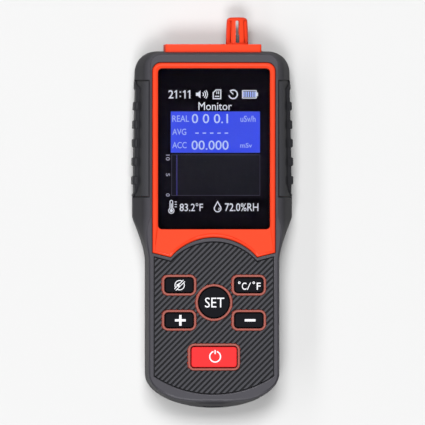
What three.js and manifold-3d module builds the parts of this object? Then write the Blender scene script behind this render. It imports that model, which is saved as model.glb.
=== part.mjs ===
// A handheld geiger counter, lying on its back. Millimetres.
// X points to the right of its face, Y to the climate probe at its top end, and Z out of its display.
// The origin is on the plane it lies on, in the middle of its length.
import * as THREE from "three";
import { mergeVertices } from "three/addons/utils/BufferGeometryUtils.js";
import Module from "manifold-3d";

const wasm = await Module();
wasm.setup();

// ---- Driving dimensions ----

// Outline of the casing, seen from the front.
const LENGTH = 191.6;
const HEAD_HALF = 39.2;
const GRIP_HALF = 32.9;
const TOP_Y = 79.1;
const TOP_CORNER_R = 10.5;
const HEAD_WIDEST_Y = 15;
const HEAD_NARROWING = 1.2;
const TAPER_TOP_Y = -2;
const TAPER_END_Y = -24;
const END_ARC_Y = -79.1;
const END_ARC_HEIGHT = LENGTH / 2 + END_ARC_Y;

// Crest of the front rim, inside that outline.
const RIM = { headHalf: 31.3, topY: 77.4, cornerR: 5, gripHalf: 31, endHeight: 14.1 };

// Where the front facet bends: how far in from the casing's edge to the crest, and how far up.
const SHOULDER = { across: 0.55, up: 0.72 };

// How far the side walls lean in for each millimetre away from the parting line.
const DRAFT = 0.05;

// The rounded back edge, in steps of the distance in from the casing's edge and the height.
const BACK_EDGE = [[5, 0], [2.2, 1.8], [0.8, 6], [0, 11]];

// Heights above the back plane.
const SPLIT_Z = 15;
const HEAD_BREAK_Z = 17.5;
const TOP_BREAK_Z = 29.5;
const GRIP_BREAK_Z = 29.6;
const RIM_Z = 32;
const PANEL_Z = 31.4;
const COLLAR_Z = 32.6;
const LENS_Z = 33;
const BEZEL_Z = 33.4;
const KEY_Z = 34;

// Walls and fits.
const COVER_WALL = 2;
const SHELL_GAP = 0.3;
const SHELL_WALL = 1.7;
const SHELL_INSET = COVER_WALL + SHELL_GAP;
const SHELL_INNER_INSET = SHELL_INSET + SHELL_WALL;
const REAR_WALL = 3.2;
const REAR_FLOOR_Z = 2.6;
const FIT = 0.2;
const TOUCH = 0.05;

// Bezel, window and display.
const BEZEL = { half: 30.1, topY: 73.4, cornerR: 4.2, sideY: -19.7, tipX: 21.3, tipY: -21.9, apexY: -12.2 };
const LENS = { width: 55, height: 78.8, y: 31.2, radius: 2, thickness: 1.5 };
const WINDOW = { width: 50.2, height: 66.4, y: 30.2, radius: 0.8 };
const LCD = { width: 55, height: 77.6, y: 31.1, floorZ: 26.4, topZ: 29.4, wall: 0.6 };

// Ribbed panel round the keys.
const PANEL = { half: 29, sideY: -22.1, tipX: 21, tipY: -24.3, apexY: -14.7, cornerY: -80, endY: -88.7 };

// Keys: the middle and the size of each hole in the front shell.
const KEYS = {
  mute: { x: -17.1, y: -35.6, width: 14.5, height: 7.9, radius: 1.9 },
  unit: { x: 17.1, y: -35.6, width: 14.5, height: 7.9, radius: 1.9 },
  set: { x: 0, y: -44.1, width: 15.8, height: 15.8, radius: 7.9 },
  plus: { x: -17.1, y: -52.8, width: 14.5, height: 7.9, radius: 1.9 },
  minus: { x: 17.1, y: -52.8, width: 14.5, height: 7.9, radius: 1.9 },
  power: { x: 0, y: -70.8, width: 23.2, height: 10.9, radius: 1.9 },
};
const COLLAR_WALL = 1.15;
const KEY_GAP = 0.6;
const KEY_FLANGE = 0.8;
const FLANGE_Z = 26.6;
const WEB_WALL = 0.7;
const PILL_R = 2.4;

// Side grips.
const GRIP = { innerX: 31.9, lowY: 8, highY: 64.3, lowZ: 5, highZ: 31.5, thickness: 1.9, sunk: 0.6 };
const GRIP_RIB = { count: 5, firstY: 15.8, pitch: 9.1, width: 3.9, proud: 0.3, innerX: 37.2 };
const GRIP_RIB_Z = { low: 7, high: 22.4 };

// Top cap and climate probe.
const CAP = { half: 23.6, topY: 82.5, lowZ: 7, highZ: 27, wall: 2 };
const CAP_FLANGE = { lowY: 72.9, highY: 74.2, side: 1.6, up: 1, down: 1.6 };
const PROBE = { x: 12.1, z: 17, slots: 8, slotWidth: 1.9, slotLowY: 83.2, slotHighY: 94.2 };

// Board and what is on it.
const BOARD = { half: 26.7, topY: 71, lowY: -75.5, tongueHalf: 14, tongueY: -89, lowZ: 22.4, topZ: 24 };
const MEMBRANE = { half: 26.5, topY: -26, lowY: -75.5, tongueHalf: 14.5, tongueY: -79.2, thickness: 1 };
const TUBE = { x: -19.5, z: 15.8, lowY: -14, highY: 70, radius: 5, wall: 0.8, capR: 5.6, capDepth: 7 };
const CLIP = { width: 4, thickness: 0.5, openAngle: 0.44 * Math.PI };
const BATTERY = { half: 20, lowY: -72, highY: -22, lowZ: 4.6, topZ: 12.6 };
const USB = { z: 20.7, width: 8.9, height: 3.2, mouthY: -94.2, backY: -86.6, wall: 0.3 };
const CASE_SCREWS = [[-30.5, 62], [30.5, 62], [-22.5, -80], [22.5, -80]];
const BOARD_SCREWS = [[-23.5, -15.5], [23.5, -15.5], [-23.5, -64], [23.5, -64]];
const BOSS_R = 3.4;

// Steps along curved stretches.
const CORNER_STEPS = 6;
const SIDE_STEPS = 3;
const TAPER_STEPS = 6;
const END_STEPS = 9;
const ARC_STEPS = 2;
const OUTLINE_STEPS = 5;
const ROUND_STEPS = 12;

// ---- Colours ----

const ORANGE = 0xfa5432;
const DARK_GREY = 0x53525a;
const RUBBER_GREY = 0x3a3a40;
const KEY_BLACK = 0x232629;
const KEY_RED = 0xf83e3e;
const LENS_BLACK = 0x09080c;
const BOARD_GREEN = 0x14492e;
const CHIP_BLACK = 0x1a1a1c;
const STEEL = 0xb8bcc2;
const NICKEL = 0xc9c6bd;
const GLASS = 0xcfe0dc;
const FOAM = 0xd8d4c8;
const CELL_SILVER = 0xa9adb3;
const RIBBON_AMBER = 0xb5702a;
const SILICONE = 0x8a8f96;
const CARBON = 0x161616;
const LEAD_RED = 0xb02020;

// ---- Shape helpers ----

const mix = THREE.MathUtils.lerp;

// A three.js geometry as a solid that can be joined and cut.
function solid(geometry) {
  const bare = geometry.clone();
  bare.deleteAttribute("normal");
  bare.deleteAttribute("uv");
  const merged = mergeVertices(bare, 1e-4);
  return new wasm.Manifold(
    new wasm.Mesh({
      numProp: 3,
      vertProperties: new Float32Array(merged.attributes.position.array),
      triVerts: new Uint32Array(merged.index.array),
    }),
  );
}

// A solid as a three.js geometry.
function geometryOf(body) {
  const mesh = body.getMesh();
  const geometry = new THREE.BufferGeometry();
  geometry.setAttribute("position", new THREE.BufferAttribute(mesh.vertProperties, 3));
  geometry.setIndex(new THREE.BufferAttribute(mesh.triVerts, 1));
  geometry.computeVertexNormals();
  return geometry;
}

// One solid made of several that touch or cross.
function joined(bodies) {
  return bodies.reduce((sum, body) => sum.add(body));
}

// What is left of a solid when several others are cut from it.
function cut(body, tools) {
  return tools.reduce((rest, tool) => rest.subtract(tool), body);
}

// A flat outline drawn out from one height to another. An arc takes twice as many sides as curveSegments.
function prismGeometry(shape, lowZ, highZ, curveSegments = ARC_STEPS) {
  const options = { depth: highZ - lowZ, bevelEnabled: false, curveSegments };
  return new THREE.ExtrudeGeometry(shape, options).translate(0, 0, lowZ);
}

function prism(shape, lowZ, highZ, curveSegments) {
  return solid(prismGeometry(shape, lowZ, highZ, curveSegments));
}

// A block between two corners.
function blockGeometry(low, high) {
  const size = high.map((value, axis) => value - low[axis]);
  const middle = high.map((value, axis) => (value + low[axis]) / 2);
  return new THREE.BoxGeometry(...size).translate(...middle);
}

function block(low, high) {
  return solid(blockGeometry(low, high));
}

// A round pin along Z.
function pin(x, y, radius, lowZ, highZ) {
  const geometry = new THREE.CylinderGeometry(radius, radius, highZ - lowZ, ROUND_STEPS);
  return solid(geometry.rotateX(Math.PI / 2).translate(x, y, (lowZ + highZ) / 2));
}

// A ring-shaped or solid turned piece along Y, from points of radius and Y.
function turned(points) {
  return new THREE.LatheGeometry(points.map(([radius, y]) => new THREE.Vector2(radius, y)), ROUND_STEPS);
}

// A rectangle with round corners about the middle. A radius of half its size makes it a circle.
function roundedRect(width, height, radius) {
  const shape = new THREE.Shape();
  const x = width / 2 - radius;
  const y = height / 2 - radius;
  const corners = [[x, y], [-x, y], [-x, -y], [x, -y]];
  corners.forEach(([cornerX, cornerY], turn) => {
    shape.absarc(cornerX, cornerY, radius, (turn * Math.PI) / 2, ((turn + 1) * Math.PI) / 2);
  });
  return shape;
}

// ---- Outlines of the casing ----

// How the casing narrows from the head (0) to the grip (1), against Y.
const TAPER = new THREE.CubicBezierCurve(
  new THREE.Vector2(0, TAPER_TOP_Y),
  new THREE.Vector2(0.08, -5),
  new THREE.Vector2(0.98, -16),
  new THREE.Vector2(1, TAPER_END_Y),
);

// A loop round the casing, anticlockwise from the front. Loops of any size match point for point. The head
// gets narrower towards its top end by narrowing, and breakZ is the height at which the side wall turns
// into the front facet.
function casingLoop({ headHalf, topY, cornerR, gripHalf, endHeight, narrowing = 0 }) {
  const right = [];
  for (let step = 0; step <= CORNER_STEPS; step++) {
    const turn = step / CORNER_STEPS;
    const angle = ((1 - turn) * Math.PI) / 2;
    right.push({
      x: headHalf - narrowing - cornerR * (1 - Math.cos(angle)),
      y: topY - cornerR * (1 - Math.sin(angle)),
      breakZ: mix(TOP_BREAK_Z, HEAD_BREAK_Z, Math.sin((turn * Math.PI) / 2)),
    });
  }
  for (let step = 1; step <= SIDE_STEPS; step++) {
    const up = 1 - step / SIDE_STEPS;
    right.push({
      x: headHalf - narrowing * up ** 1.5,
      y: mix(HEAD_WIDEST_Y, topY - cornerR, up),
      breakZ: HEAD_BREAK_Z,
    });
  }
  for (const { x: share, y } of TAPER.getPoints(TAPER_STEPS)) {
    right.push({
      x: mix(headHalf, gripHalf, share),
      y,
      breakZ: mix(HEAD_BREAK_Z, GRIP_BREAK_Z, share),
    });
  }
  for (let step = 0; step <= END_STEPS; step++) {
    const angle = ((step / END_STEPS) * Math.PI) / 2;
    right.push({
      x: gripHalf * Math.cos(angle),
      y: END_ARC_Y - endHeight * Math.sin(angle),
      breakZ: GRIP_BREAK_Z,
    });
  }
  right[right.length - 1].x = 0;
  const left = right.slice(0, -1).map((point) => ({ ...point, x: -point.x }));
  return [...left, ...right.reverse()];
}

// The casing's outer outline, moved inwards by inset.
function outerLoop(inset) {
  return casingLoop({
    headHalf: HEAD_HALF - inset,
    topY: TOP_Y - inset,
    cornerR: TOP_CORNER_R - inset,
    gripHalf: GRIP_HALF - inset,
    endHeight: END_ARC_HEIGHT - inset,
    narrowing: HEAD_NARROWING,
  });
}

// The crest of the front rim for a surface that lies inset below the outer one.
function rimLoop(inset) {
  const back = inset / 2;
  return casingLoop({
    headHalf: RIM.headHalf - back,
    topY: RIM.topY - back,
    cornerR: RIM.cornerR - back,
    gripHalf: RIM.gripHalf - back,
    endHeight: RIM.endHeight - back,
  });
}

function atHeight(loop, z) {
  return loop.map((point) => new THREE.Vector3(point.x, point.y, z));
}

// A closed solid through matching loops, from the lowest to the highest.
function loft(loops) {
  const count = loops[0].length;
  const positions = loops.flat().flatMap((point) => [point.x, point.y, point.z]);
  const indices = [];
  for (let level = 0; level + 1 < loops.length; level++) {
    for (let step = 0; step < count; step++) {
      const a = level * count + step;
      const b = level * count + ((step + 1) % count);
      indices.push(a, b, b + count, a, b + count, a + count);
    }
  }
  const top = (loops.length - 1) * count;
  const flat = loops[0].map((point) => new THREE.Vector2(point.x, point.y));
  for (const [a, b, c] of THREE.ShapeUtils.triangulateShape(flat, [])) {
    indices.push(c, b, a);
  }
  const flatTop = loops[loops.length - 1].map((point) => new THREE.Vector2(point.x, point.y));
  for (const [a, b, c] of THREE.ShapeUtils.triangulateShape(flatTop, [])) {
    indices.push(top + a, top + b, top + c);
  }
  const geometry = new THREE.BufferGeometry();
  geometry.setAttribute("position", new THREE.Float32BufferAttribute(positions, 3));
  geometry.setIndex(indices);
  return solid(geometry);
}

// Everything inside a surface that lies inset below the front half's outer one, down to lowZ.
function frontBulk(inset, lowZ) {
  const outer = outerLoop(inset);
  const inner = outerLoop(inset + 1);
  const breaks = outer.map((point, index) => {
    const lean = (point.breakZ - SPLIT_Z) * DRAFT;
    const x = mix(point.x, inner[index].x, lean);
    const y = mix(point.y, inner[index].y, lean);
    return new THREE.Vector3(x, y, point.breakZ - inset / 3);
  });
  const crest = atHeight(rimLoop(inset), RIM_Z - inset);
  const shoulders = breaks.map((point, index) => {
    const x = mix(point.x, crest[index].x, SHOULDER.across);
    const y = mix(point.y, crest[index].y, SHOULDER.across);
    return new THREE.Vector3(x, y, mix(point.z, crest[index].z, SHOULDER.up));
  });
  return loft([atHeight(outer, lowZ), breaks, shoulders, crest]);
}

// Everything inside the rear half, as a tray with a faceted back edge.
function rearBulk(inset, lowZ, highZ) {
  const edgeTopZ = BACK_EDGE[BACK_EDGE.length - 1][1];
  const edge = BACK_EDGE.map(([distance, z]) => {
    return atHeight(outerLoop(inset + distance), mix(lowZ, edgeTopZ, z / edgeTopZ));
  });
  return loft([...edge, atHeight(outerLoop(inset), highZ)]);
}

// Draws the arched edge between two tips of an outline, from the right tip to the left one.
function archTo(shape, tipX, tipY, apexY) {
  const rise = apexY - tipY;
  const radius = (tipX * tipX + rise * rise) / (2 * rise);
  const spread = Math.asin(tipX / radius);
  shape.absarc(0, apexY - radius, radius, Math.PI / 2 - spread, Math.PI / 2 + spread, false);
}

// The orange bezel's outline, made larger all round by grow.
function bezelOutline(grow) {
  const half = BEZEL.half + grow;
  const radius = BEZEL.cornerR + grow;
  const topY = BEZEL.topY + grow;
  const shape = new THREE.Shape();
  shape.moveTo(-BEZEL.tipX, BEZEL.tipY - grow);
  shape.lineTo(-half, BEZEL.sideY - grow);
  shape.absarc(-half + radius, topY - radius, radius, Math.PI, Math.PI / 2, true);
  shape.absarc(half - radius, topY - radius, radius, Math.PI / 2, 0, true);
  shape.lineTo(half, BEZEL.sideY - grow);
  shape.lineTo(BEZEL.tipX, BEZEL.tipY - grow);
  archTo(shape, BEZEL.tipX, BEZEL.tipY - grow, BEZEL.apexY - grow);
  return shape;
}

// The ribbed panel's outline, made larger all round by grow.
function panelOutline(grow) {
  const half = PANEL.half + grow;
  const shape = new THREE.Shape();
  shape.moveTo(half, PANEL.sideY + grow);
  shape.lineTo(PANEL.tipX, PANEL.tipY + grow);
  archTo(shape, PANEL.tipX, PANEL.tipY + grow, PANEL.apexY + grow);
  shape.lineTo(-half, PANEL.sideY + grow);
  shape.lineTo(-half, PANEL.cornerY);
  const sag = PANEL.cornerY - PANEL.endY + grow;
  const radius = (half * half + sag * sag) / (2 * sag);
  const spread = Math.asin(half / radius);
  const middleY = PANEL.endY - grow + radius;
  shape.absarc(0, middleY, radius, 1.5 * Math.PI - spread, 1.5 * Math.PI + spread, false);
  return shape;
}

// An outline that is wide above and has a narrower tongue below.
function tongueOutline({ half, topY, lowY, tongueHalf, tongueY }) {
  const shape = new THREE.Shape();
  shape.moveTo(-half, topY);
  shape.lineTo(-half, lowY);
  shape.lineTo(-tongueHalf, lowY);
  shape.lineTo(-tongueHalf, tongueY);
  shape.lineTo(tongueHalf, tongueY);
  shape.lineTo(tongueHalf, lowY);
  shape.lineTo(half, lowY);
  shape.lineTo(half, topY);
  return shape;
}

// A key's hole grown or shrunk all round, as a prism in place on the object.
function keyPrism(key, grow, lowZ, highZ) {
  const shape = roundedRect(key.width + 2 * grow, key.height + 2 * grow, key.radius + grow);
  return solid(prismGeometry(shape, lowZ, highZ).translate(key.x, key.y, 0));
}

// ---- Scene graph helpers ----

const counter = new THREE.Group();

// Adds a named mesh with a material of its own to a group.
function place(group, name, geometry, color, roughness, metalness = 0) {
  const material = new THREE.MeshStandardMaterial({ color, roughness, metalness });
  const mesh = new THREE.Mesh(geometry, material);
  mesh.name = name;
  group.add(mesh);
  return mesh;
}

function placeSolid(group, name, body, color, roughness, metalness = 0) {
  return place(group, name, geometryOf(body), color, roughness, metalness);
}

// ---- Casing ----

// The pocket that a side grip fills, made larger by grow.
function gripZone(side, grow) {
  const inner = GRIP.innerX - grow;
  const outer = HEAD_HALF + 3;
  const low = [Math.min(side * inner, side * outer), GRIP.lowY - grow, GRIP.lowZ - grow];
  const high = [Math.max(side * inner, side * outer), GRIP.highY + grow, GRIP.highZ + grow];
  return block(low, high);
}

// The hole that the top cap's neck passes through.
function capOpening() {
  return block(
    [-CAP.half - FIT, CAP_FLANGE.lowY, CAP.lowZ - FIT],
    [CAP.half + FIT, CAP.topY, CAP.highZ + FIT],
  );
}

function usbOpening() {
  const width = USB.width / 2 + 0.5;
  const height = USB.height / 2 + 0.3;
  return block([-width, -LENGTH / 2 - 1, USB.z - height], [width, USB.backY - FIT, USB.z + height]);
}

// The pocket for a side grip in the casing's wall, as deep as the grip is thick.
function gripPocket(side, core) {
  return gripZone(side, FIT).subtract(core);
}

function frontCover() {
  const shellRoom = frontBulk(COVER_WALL, SPLIT_Z - 1);
  const openings = [
    prism(bezelOutline(FIT), RIM_Z - COVER_WALL - 1, RIM_Z + 1, OUTLINE_STEPS),
    prism(panelOutline(FIT), RIM_Z - COVER_WALL - 1, RIM_Z + 1, OUTLINE_STEPS),
  ];
  return cut(frontBulk(0, SPLIT_Z + FIT), [
    shellRoom,
    ...openings,
    gripZone(-1, FIT),
    gripZone(1, FIT),
    capOpening(),
    usbOpening(),
  ]);
}

function frontShell() {
  const outside = frontBulk(SHELL_INSET, SPLIT_Z + 1);
  const inside = frontBulk(SHELL_INNER_INSET, SPLIT_Z);
  const plateZ = RIM_Z - SHELL_INSET;
  const bossRoom = frontBulk(SHELL_INSET, SPLIT_Z - 1);
  const bosses = CASE_SCREWS.map(([x, y]) => pin(x, y, BOSS_R, SPLIT_Z - 0.6, RIM_Z));
  const pillars = BOARD_SCREWS.map(([x, y]) => pin(x, y, 2.6, BOARD.topZ + TOUCH, plateZ - 0.5));
  const collars = Object.values(KEYS).map((key) => keyPrism(key, COLLAR_WALL, plateZ - 0.5, COLLAR_Z));
  const bezel = prism(bezelOutline(0), plateZ - 0.5, BEZEL_Z, OUTLINE_STEPS);
  const bossPart = joined(bosses).intersect(bossRoom);
  const body = joined([outside.subtract(inside), bezel, bossPart, ...pillars, ...collars]);
  const lensSeat = roundedRect(LENS.width + 2 * FIT, LENS.height + 2 * FIT, LENS.radius + FIT);
  const windowHole = roundedRect(WINDOW.width, WINDOW.height, WINDOW.radius);
  const seatZ = LENS_Z - LENS.thickness - TOUCH;
  const lcdHalf = LCD.width / 2 + FIT;
  const lcdLowY = LCD.y - LCD.height / 2 - FIT;
  const lcdHighY = LCD.y + LCD.height / 2 + FIT;
  return cut(body, [
    solid(prismGeometry(lensSeat, seatZ, BEZEL_Z + 1).translate(0, LENS.y, 0)),
    solid(prismGeometry(windowHole, LCD.topZ - 1, BEZEL_Z).translate(0, WINDOW.y, 0)),
    block([-lcdHalf, lcdLowY, SPLIT_Z + 2], [lcdHalf, lcdHighY, LCD.topZ + 0.1]),
    ...Object.values(KEYS).map((key) => keyPrism(key, 0, plateZ - SHELL_WALL - 1, COLLAR_Z + 1)),
    ...CASE_SCREWS.map(([x, y]) => pin(x, y, 1.4, SPLIT_Z - 1, 22.5)),
    ...BOARD_SCREWS.map(([x, y]) => pin(x, y, 1.05, BOARD.topZ - 1, 27.6)),
    capOpening(),
    usbOpening(),
  ]);
}

function keypadPanel() {
  const lowZ = RIM_Z - SHELL_INSET + TOUCH;
  const plate = prism(panelOutline(0), lowZ, PANEL_Z, OUTLINE_STEPS);
  const holes = Object.values(KEYS).map((key) => keyPrism(key, COLLAR_WALL + FIT, lowZ - 1, PANEL_Z + 1));
  return cut(plate, holes);
}

function sideGrip(side) {
  const pad = joinedHalves(GRIP.sunk);
  const ribs = Array.from({ length: GRIP_RIB.count }, (_, index) => {
    const middle = GRIP_RIB.firstY + index * GRIP_RIB.pitch;
    const inner = side * GRIP_RIB.innerX;
    const outer = side * (HEAD_HALF + 3);
    return block(
      [Math.min(inner, outer), middle - GRIP_RIB.width / 2, GRIP_RIB_Z.low],
      [Math.max(inner, outer), middle + GRIP_RIB.width / 2, GRIP_RIB_Z.high],
    );
  });
  const ribBulk = joined(ribs).intersect(joinedHalves(-GRIP_RIB.proud));
  return pad.add(ribBulk).intersect(gripZone(side, 0)).subtract(joinedHalves(GRIP.thickness));
}

// Both halves of the casing as one bulk, inset below their outer surface.
function joinedHalves(inset) {
  return frontBulk(inset, SPLIT_Z).add(rearBulk(inset, 0, SPLIT_Z + 1));
}

function rearCover() {
  const tray = rearBulk(0, 0, SPLIT_Z).subtract(rearBulk(REAR_WALL, REAR_FLOOR_Z, SPLIT_Z + 1));
  const bosses = CASE_SCREWS.map(([x, y]) => pin(x, y, BOSS_R + 0.2, 0, SPLIT_Z - 0.9));
  const bossPart = joined(bosses).intersect(rearBulk(1, 0, SPLIT_Z - 0.9));
  const shoulderZ = 4.3;
  const gripCore = rearBulk(GRIP.thickness + FIT, 0, SPLIT_Z + 1);
  const windowSlots = Array.from({ length: 9 }, (_, index) => {
    const middle = 8 + index * 5;
    return block([TUBE.x - 7, middle - 1, -1], [TUBE.x + 7, middle + 1, REAR_FLOOR_Z + 1]);
  });
  const soundHoles = [-1, 0, 1].map((index) => pin(14 + index * 4.5, 8, 1.1, -1, REAR_FLOOR_Z + 1));
  return cut(tray.add(bossPart), [
    ...CASE_SCREWS.map(([x, y]) => pin(x, y, 3, -1, shoulderZ)),
    ...CASE_SCREWS.map(([x, y]) => pin(x, y, 1.6, shoulderZ - 1, SPLIT_Z)),
    gripPocket(-1, gripCore),
    gripPocket(1, gripCore),
    ...windowSlots,
    ...soundHoles,
    capOpening(),
  ]);
}

function caseSeal() {
  const lowZ = SPLIT_Z + TOUCH;
  const highZ = SPLIT_Z + 0.9;
  const ring = (inset, low, high) => {
    const loop = outerLoop(inset);
    return loft([atHeight(loop, low), atHeight(loop, high)]);
  };
  return ring(2.3, lowZ, highZ).subtract(ring(3.1, lowZ - 1, highZ + 1)).subtract(capOpening());
}

// ---- Top end ----

function topCap() {
  const neck = block([-CAP.half, CAP_FLANGE.lowY, CAP.lowZ], [CAP.half, CAP.topY, CAP.highZ]);
  const flange = block(
    [-CAP.half - CAP_FLANGE.side, CAP_FLANGE.lowY, CAP.lowZ - CAP_FLANGE.down],
    [CAP.half + CAP_FLANGE.side, CAP_FLANGE.highY, CAP.highZ + CAP_FLANGE.up],
  );
  const hollow = block(
    [-CAP.half + CAP.wall, CAP_FLANGE.lowY - 1, CAP.lowZ + CAP.wall],
    [CAP.half - CAP.wall, CAP.topY - CAP.wall, CAP.highZ - CAP.wall],
  );
  const probeHole = new THREE.CylinderGeometry(4.9, 4.9, 8, ROUND_STEPS);
  probeHole.translate(PROBE.x, CAP.topY, PROBE.z);
  return cut(neck.add(flange), [hollow, solid(probeHole)]);
}

// The cage stands on the cap with its spigot in the cap's hole. Its slots are open right through.
function sensorCage() {
  const profile = [
    [3.6, 78.6],
    [4.6, 78.6],
    [4.6, CAP.topY + TOUCH],
    [5.5, CAP.topY + TOUCH],
    [4.9, 94],
    [4.5, 95.1],
    [3.8, 95.6],
    [0, LENGTH / 2],
    [0, 94.5],
    [3.5, 94.2],
    [4.2, CAP.topY + 1],
    [3.6, 81],
    [3.6, 78.6],
  ];
  const cup = solid(turned(profile));
  const slots = Array.from({ length: PROBE.slots / 2 }, (_, index) => {
    const slot = new THREE.BoxGeometry(PROBE.slotWidth, PROBE.slotHighY - PROBE.slotLowY, 16);
    slot.translate(0, (PROBE.slotHighY + PROBE.slotLowY) / 2, 0);
    return solid(slot.rotateY((index * 2 * Math.PI) / PROBE.slots));
  });
  return cut(cup, slots);
}

function addTopEnd(group) {
  placeSolid(group, "top_cap", topCap(), ORANGE, 0.5);
  const probe = new THREE.Group();
  probe.position.set(PROBE.x, 0, PROBE.z);
  group.add(probe);
  placeSolid(probe, "sensor_cage", sensorCage(), ORANGE, 0.5);
  place(probe, "sensor_board", blockGeometry([-2.6, 73.5, -0.4], [2.6, 87.1, 0.4]), CHIP_BLACK, 0.6);
  const sensor = blockGeometry([-1.3, 84, -1.35], [1.3, 86.6, -0.4 - TOUCH]);
  place(probe, "climate_sensor", sensor, STEEL, 0.4, 0.8);
}

// ---- Display ----

function addDisplay(group) {
  const lens = roundedRect(LENS.width, LENS.height, LENS.radius);
  const lensMesh = place(group, "display_lens", prismGeometry(lens, 0, LENS.thickness), LENS_BLACK, 0.08);
  lensMesh.position.set(0, LENS.y, LENS_Z - LENS.thickness);

  const module = new THREE.Group();
  module.position.set(0, LCD.y, 0);
  group.add(module);
  const half = [LCD.width / 2, LCD.height / 2];
  const tray = block([-half[0], -half[1], LCD.floorZ], [half[0], half[1], LCD.topZ]);
  const inner = [half[0] - LCD.wall, half[1] - LCD.wall];
  const pocket = block([-inner[0], -inner[1], LCD.floorZ + LCD.wall], [inner[0], inner[1], LCD.topZ + 1]);
  placeSolid(module, "lcd_frame", tray.subtract(pocket), STEEL, 0.35, 0.9);
  const glass = blockGeometry(
    [-inner[0] + FIT, -inner[1] + FIT, LCD.floorZ + LCD.wall + TOUCH],
    [inner[0] - FIT, inner[1] - FIT, LCD.topZ - TOUCH],
  );
  place(module, "lcd_panel", glass, LENS_BLACK, 0.2);
  const spacerHalf = half.map((value) => value - 1);
  const openingHalf = half.map((value) => value - 4);
  const spacer = block(
    [-spacerHalf[0], -spacerHalf[1], BOARD.topZ + TOUCH],
    [spacerHalf[0], spacerHalf[1], LCD.floorZ - TOUCH],
  );
  const opening = block(
    [-openingHalf[0], -openingHalf[1], BOARD.topZ - 1],
    [openingHalf[0], openingHalf[1], LCD.floorZ + 1],
  );
  placeSolid(module, "lcd_bracket", spacer.subtract(opening), KEY_BLACK, 0.6);
  addRibbon(group);
}

// The display's flat cable, folded from its lower edge down to the board.
function addRibbon(group) {
  const edgeY = LCD.y - LCD.height / 2 - 0.3;
  const ribbon = new THREE.Shape();
  ribbon.moveTo(edgeY, 27.9);
  ribbon.lineTo(edgeY - 1.2, 27.9);
  ribbon.lineTo(edgeY - 3.4, 24.6);
  ribbon.lineTo(edgeY - 7, 24.4);
  ribbon.lineTo(edgeY - 7, 24.15);
  ribbon.lineTo(edgeY - 3.2, 24.3);
  ribbon.lineTo(edgeY - 1, 27.6);
  ribbon.lineTo(edgeY, 27.6);
  const width = 20;
  const geometry = new THREE.ExtrudeGeometry(ribbon, { depth: width, bevelEnabled: false });
  // The outline is drawn in Y and Z and drawn out along X.
  const drawnPlane = new THREE.Matrix4().makeBasis(
    new THREE.Vector3(0, 1, 0),
    new THREE.Vector3(0, 0, 1),
    new THREE.Vector3(1, 0, 0),
  );
  geometry.applyMatrix4(drawnPlane);
  place(group, "lcd_ribbon", geometry, RIBBON_AMBER, 0.5).position.set(-width / 2, 0, 0);
}

// ---- Keypad ----

function keyMembrane() {
  const lowZ = BOARD.topZ + TOUCH;
  const highZ = lowZ + MEMBRANE.thickness;
  const holes = Object.values(KEYS).map((key) => keyPrism(key, KEY_FLANGE - WEB_WALL, lowZ - 1, highZ + 1));
  const pillarHoles = BOARD_SCREWS.map(([x, y]) => pin(x, y, 2.9, lowZ - 1, highZ + 1));
  return cut(prism(tongueOutline(MEMBRANE), lowZ, highZ), [...holes, ...pillarHoles]);
}

function addKey(group, name, key) {
  const gap = 2 * KEY_GAP;
  const seat = new THREE.Group();
  seat.position.set(key.x, key.y, 0);
  group.add(seat);
  const flangeSize = [key.width + 2 * KEY_FLANGE, key.height + 2 * KEY_FLANGE, key.radius + KEY_FLANGE];
  const capSize = [key.width - gap, key.height - gap, key.radius - KEY_GAP];
  const cap = prism(roundedRect(...capSize), FLANGE_Z + 0.5, KEY_Z);
  const shellUnderside = RIM_Z - SHELL_INNER_INSET;
  const flange = prism(roundedRect(...flangeSize), FLANGE_Z, shellUnderside - 0.1);
  const color = name === "power" ? KEY_RED : KEY_BLACK;
  placeSolid(seat, `key_${name}`, cap.add(flange), color, 0.55);

  const webLowZ = BOARD.topZ + MEMBRANE.thickness + 2 * TOUCH;
  const webHighZ = FLANGE_Z - TOUCH;
  const wall = 2 * WEB_WALL;
  const innerSize = [flangeSize[0] - wall, flangeSize[1] - wall, flangeSize[2] - WEB_WALL];
  const web = prism(roundedRect(...flangeSize), webLowZ, webHighZ);
  const hollow = prism(roundedRect(...innerSize), webLowZ - 1, webHighZ + 1);
  placeSolid(seat, `key_web_${name}`, web.subtract(hollow), SILICONE, 0.7);

  const pillLowZ = BOARD.topZ + 1.05;
  const pillHeight = FLANGE_Z - TOUCH - pillLowZ;
  const pill = new THREE.CylinderGeometry(PILL_R, PILL_R, pillHeight, ROUND_STEPS).rotateX(Math.PI / 2);
  place(seat, `key_pill_${name}`, pill, CARBON, 0.8).position.set(0, 0, pillLowZ + pillHeight / 2);
}

function addKeypad(group) {
  placeSolid(group, "keypad_panel", keypadPanel(), DARK_GREY, 0.7);
  placeSolid(group, "key_membrane", keyMembrane(), SILICONE, 0.7);
  for (const [name, key] of Object.entries(KEYS)) {
    addKey(group, name, key);
  }
}

// ---- Electronics ----

function mainBoard() {
  const holes = BOARD_SCREWS.map(([x, y]) => pin(x, y, 1.5, BOARD.lowZ - 1, BOARD.topZ + 1));
  return cut(prism(tongueOutline(BOARD), BOARD.lowZ, BOARD.topZ), holes);
}

// A spring clip round the tube's end cap, open downwards, with a foot on the board's underside.
function tubeClip() {
  const bandR = TUBE.capR + FIT;
  const outerR = bandR + CLIP.thickness;
  const start = (CLIP.openAngle - Math.PI) / 2;
  const end = Math.PI - start;
  const shape = new THREE.Shape();
  shape.absarc(0, 0, outerR, start, end, false);
  shape.absarc(0, 0, bandR, end, start, true);
  const halfWidth = CLIP.width / 2;
  const band = prism(shape, -halfWidth, halfWidth, ROUND_STEPS / 2);
  const footHighY = BOARD.lowZ - TOUCH - TUBE.z;
  const foot = block([-2, outerR - 0.4, -halfWidth], [2, footHighY, halfWidth]);
  return band.add(foot);
}

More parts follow.
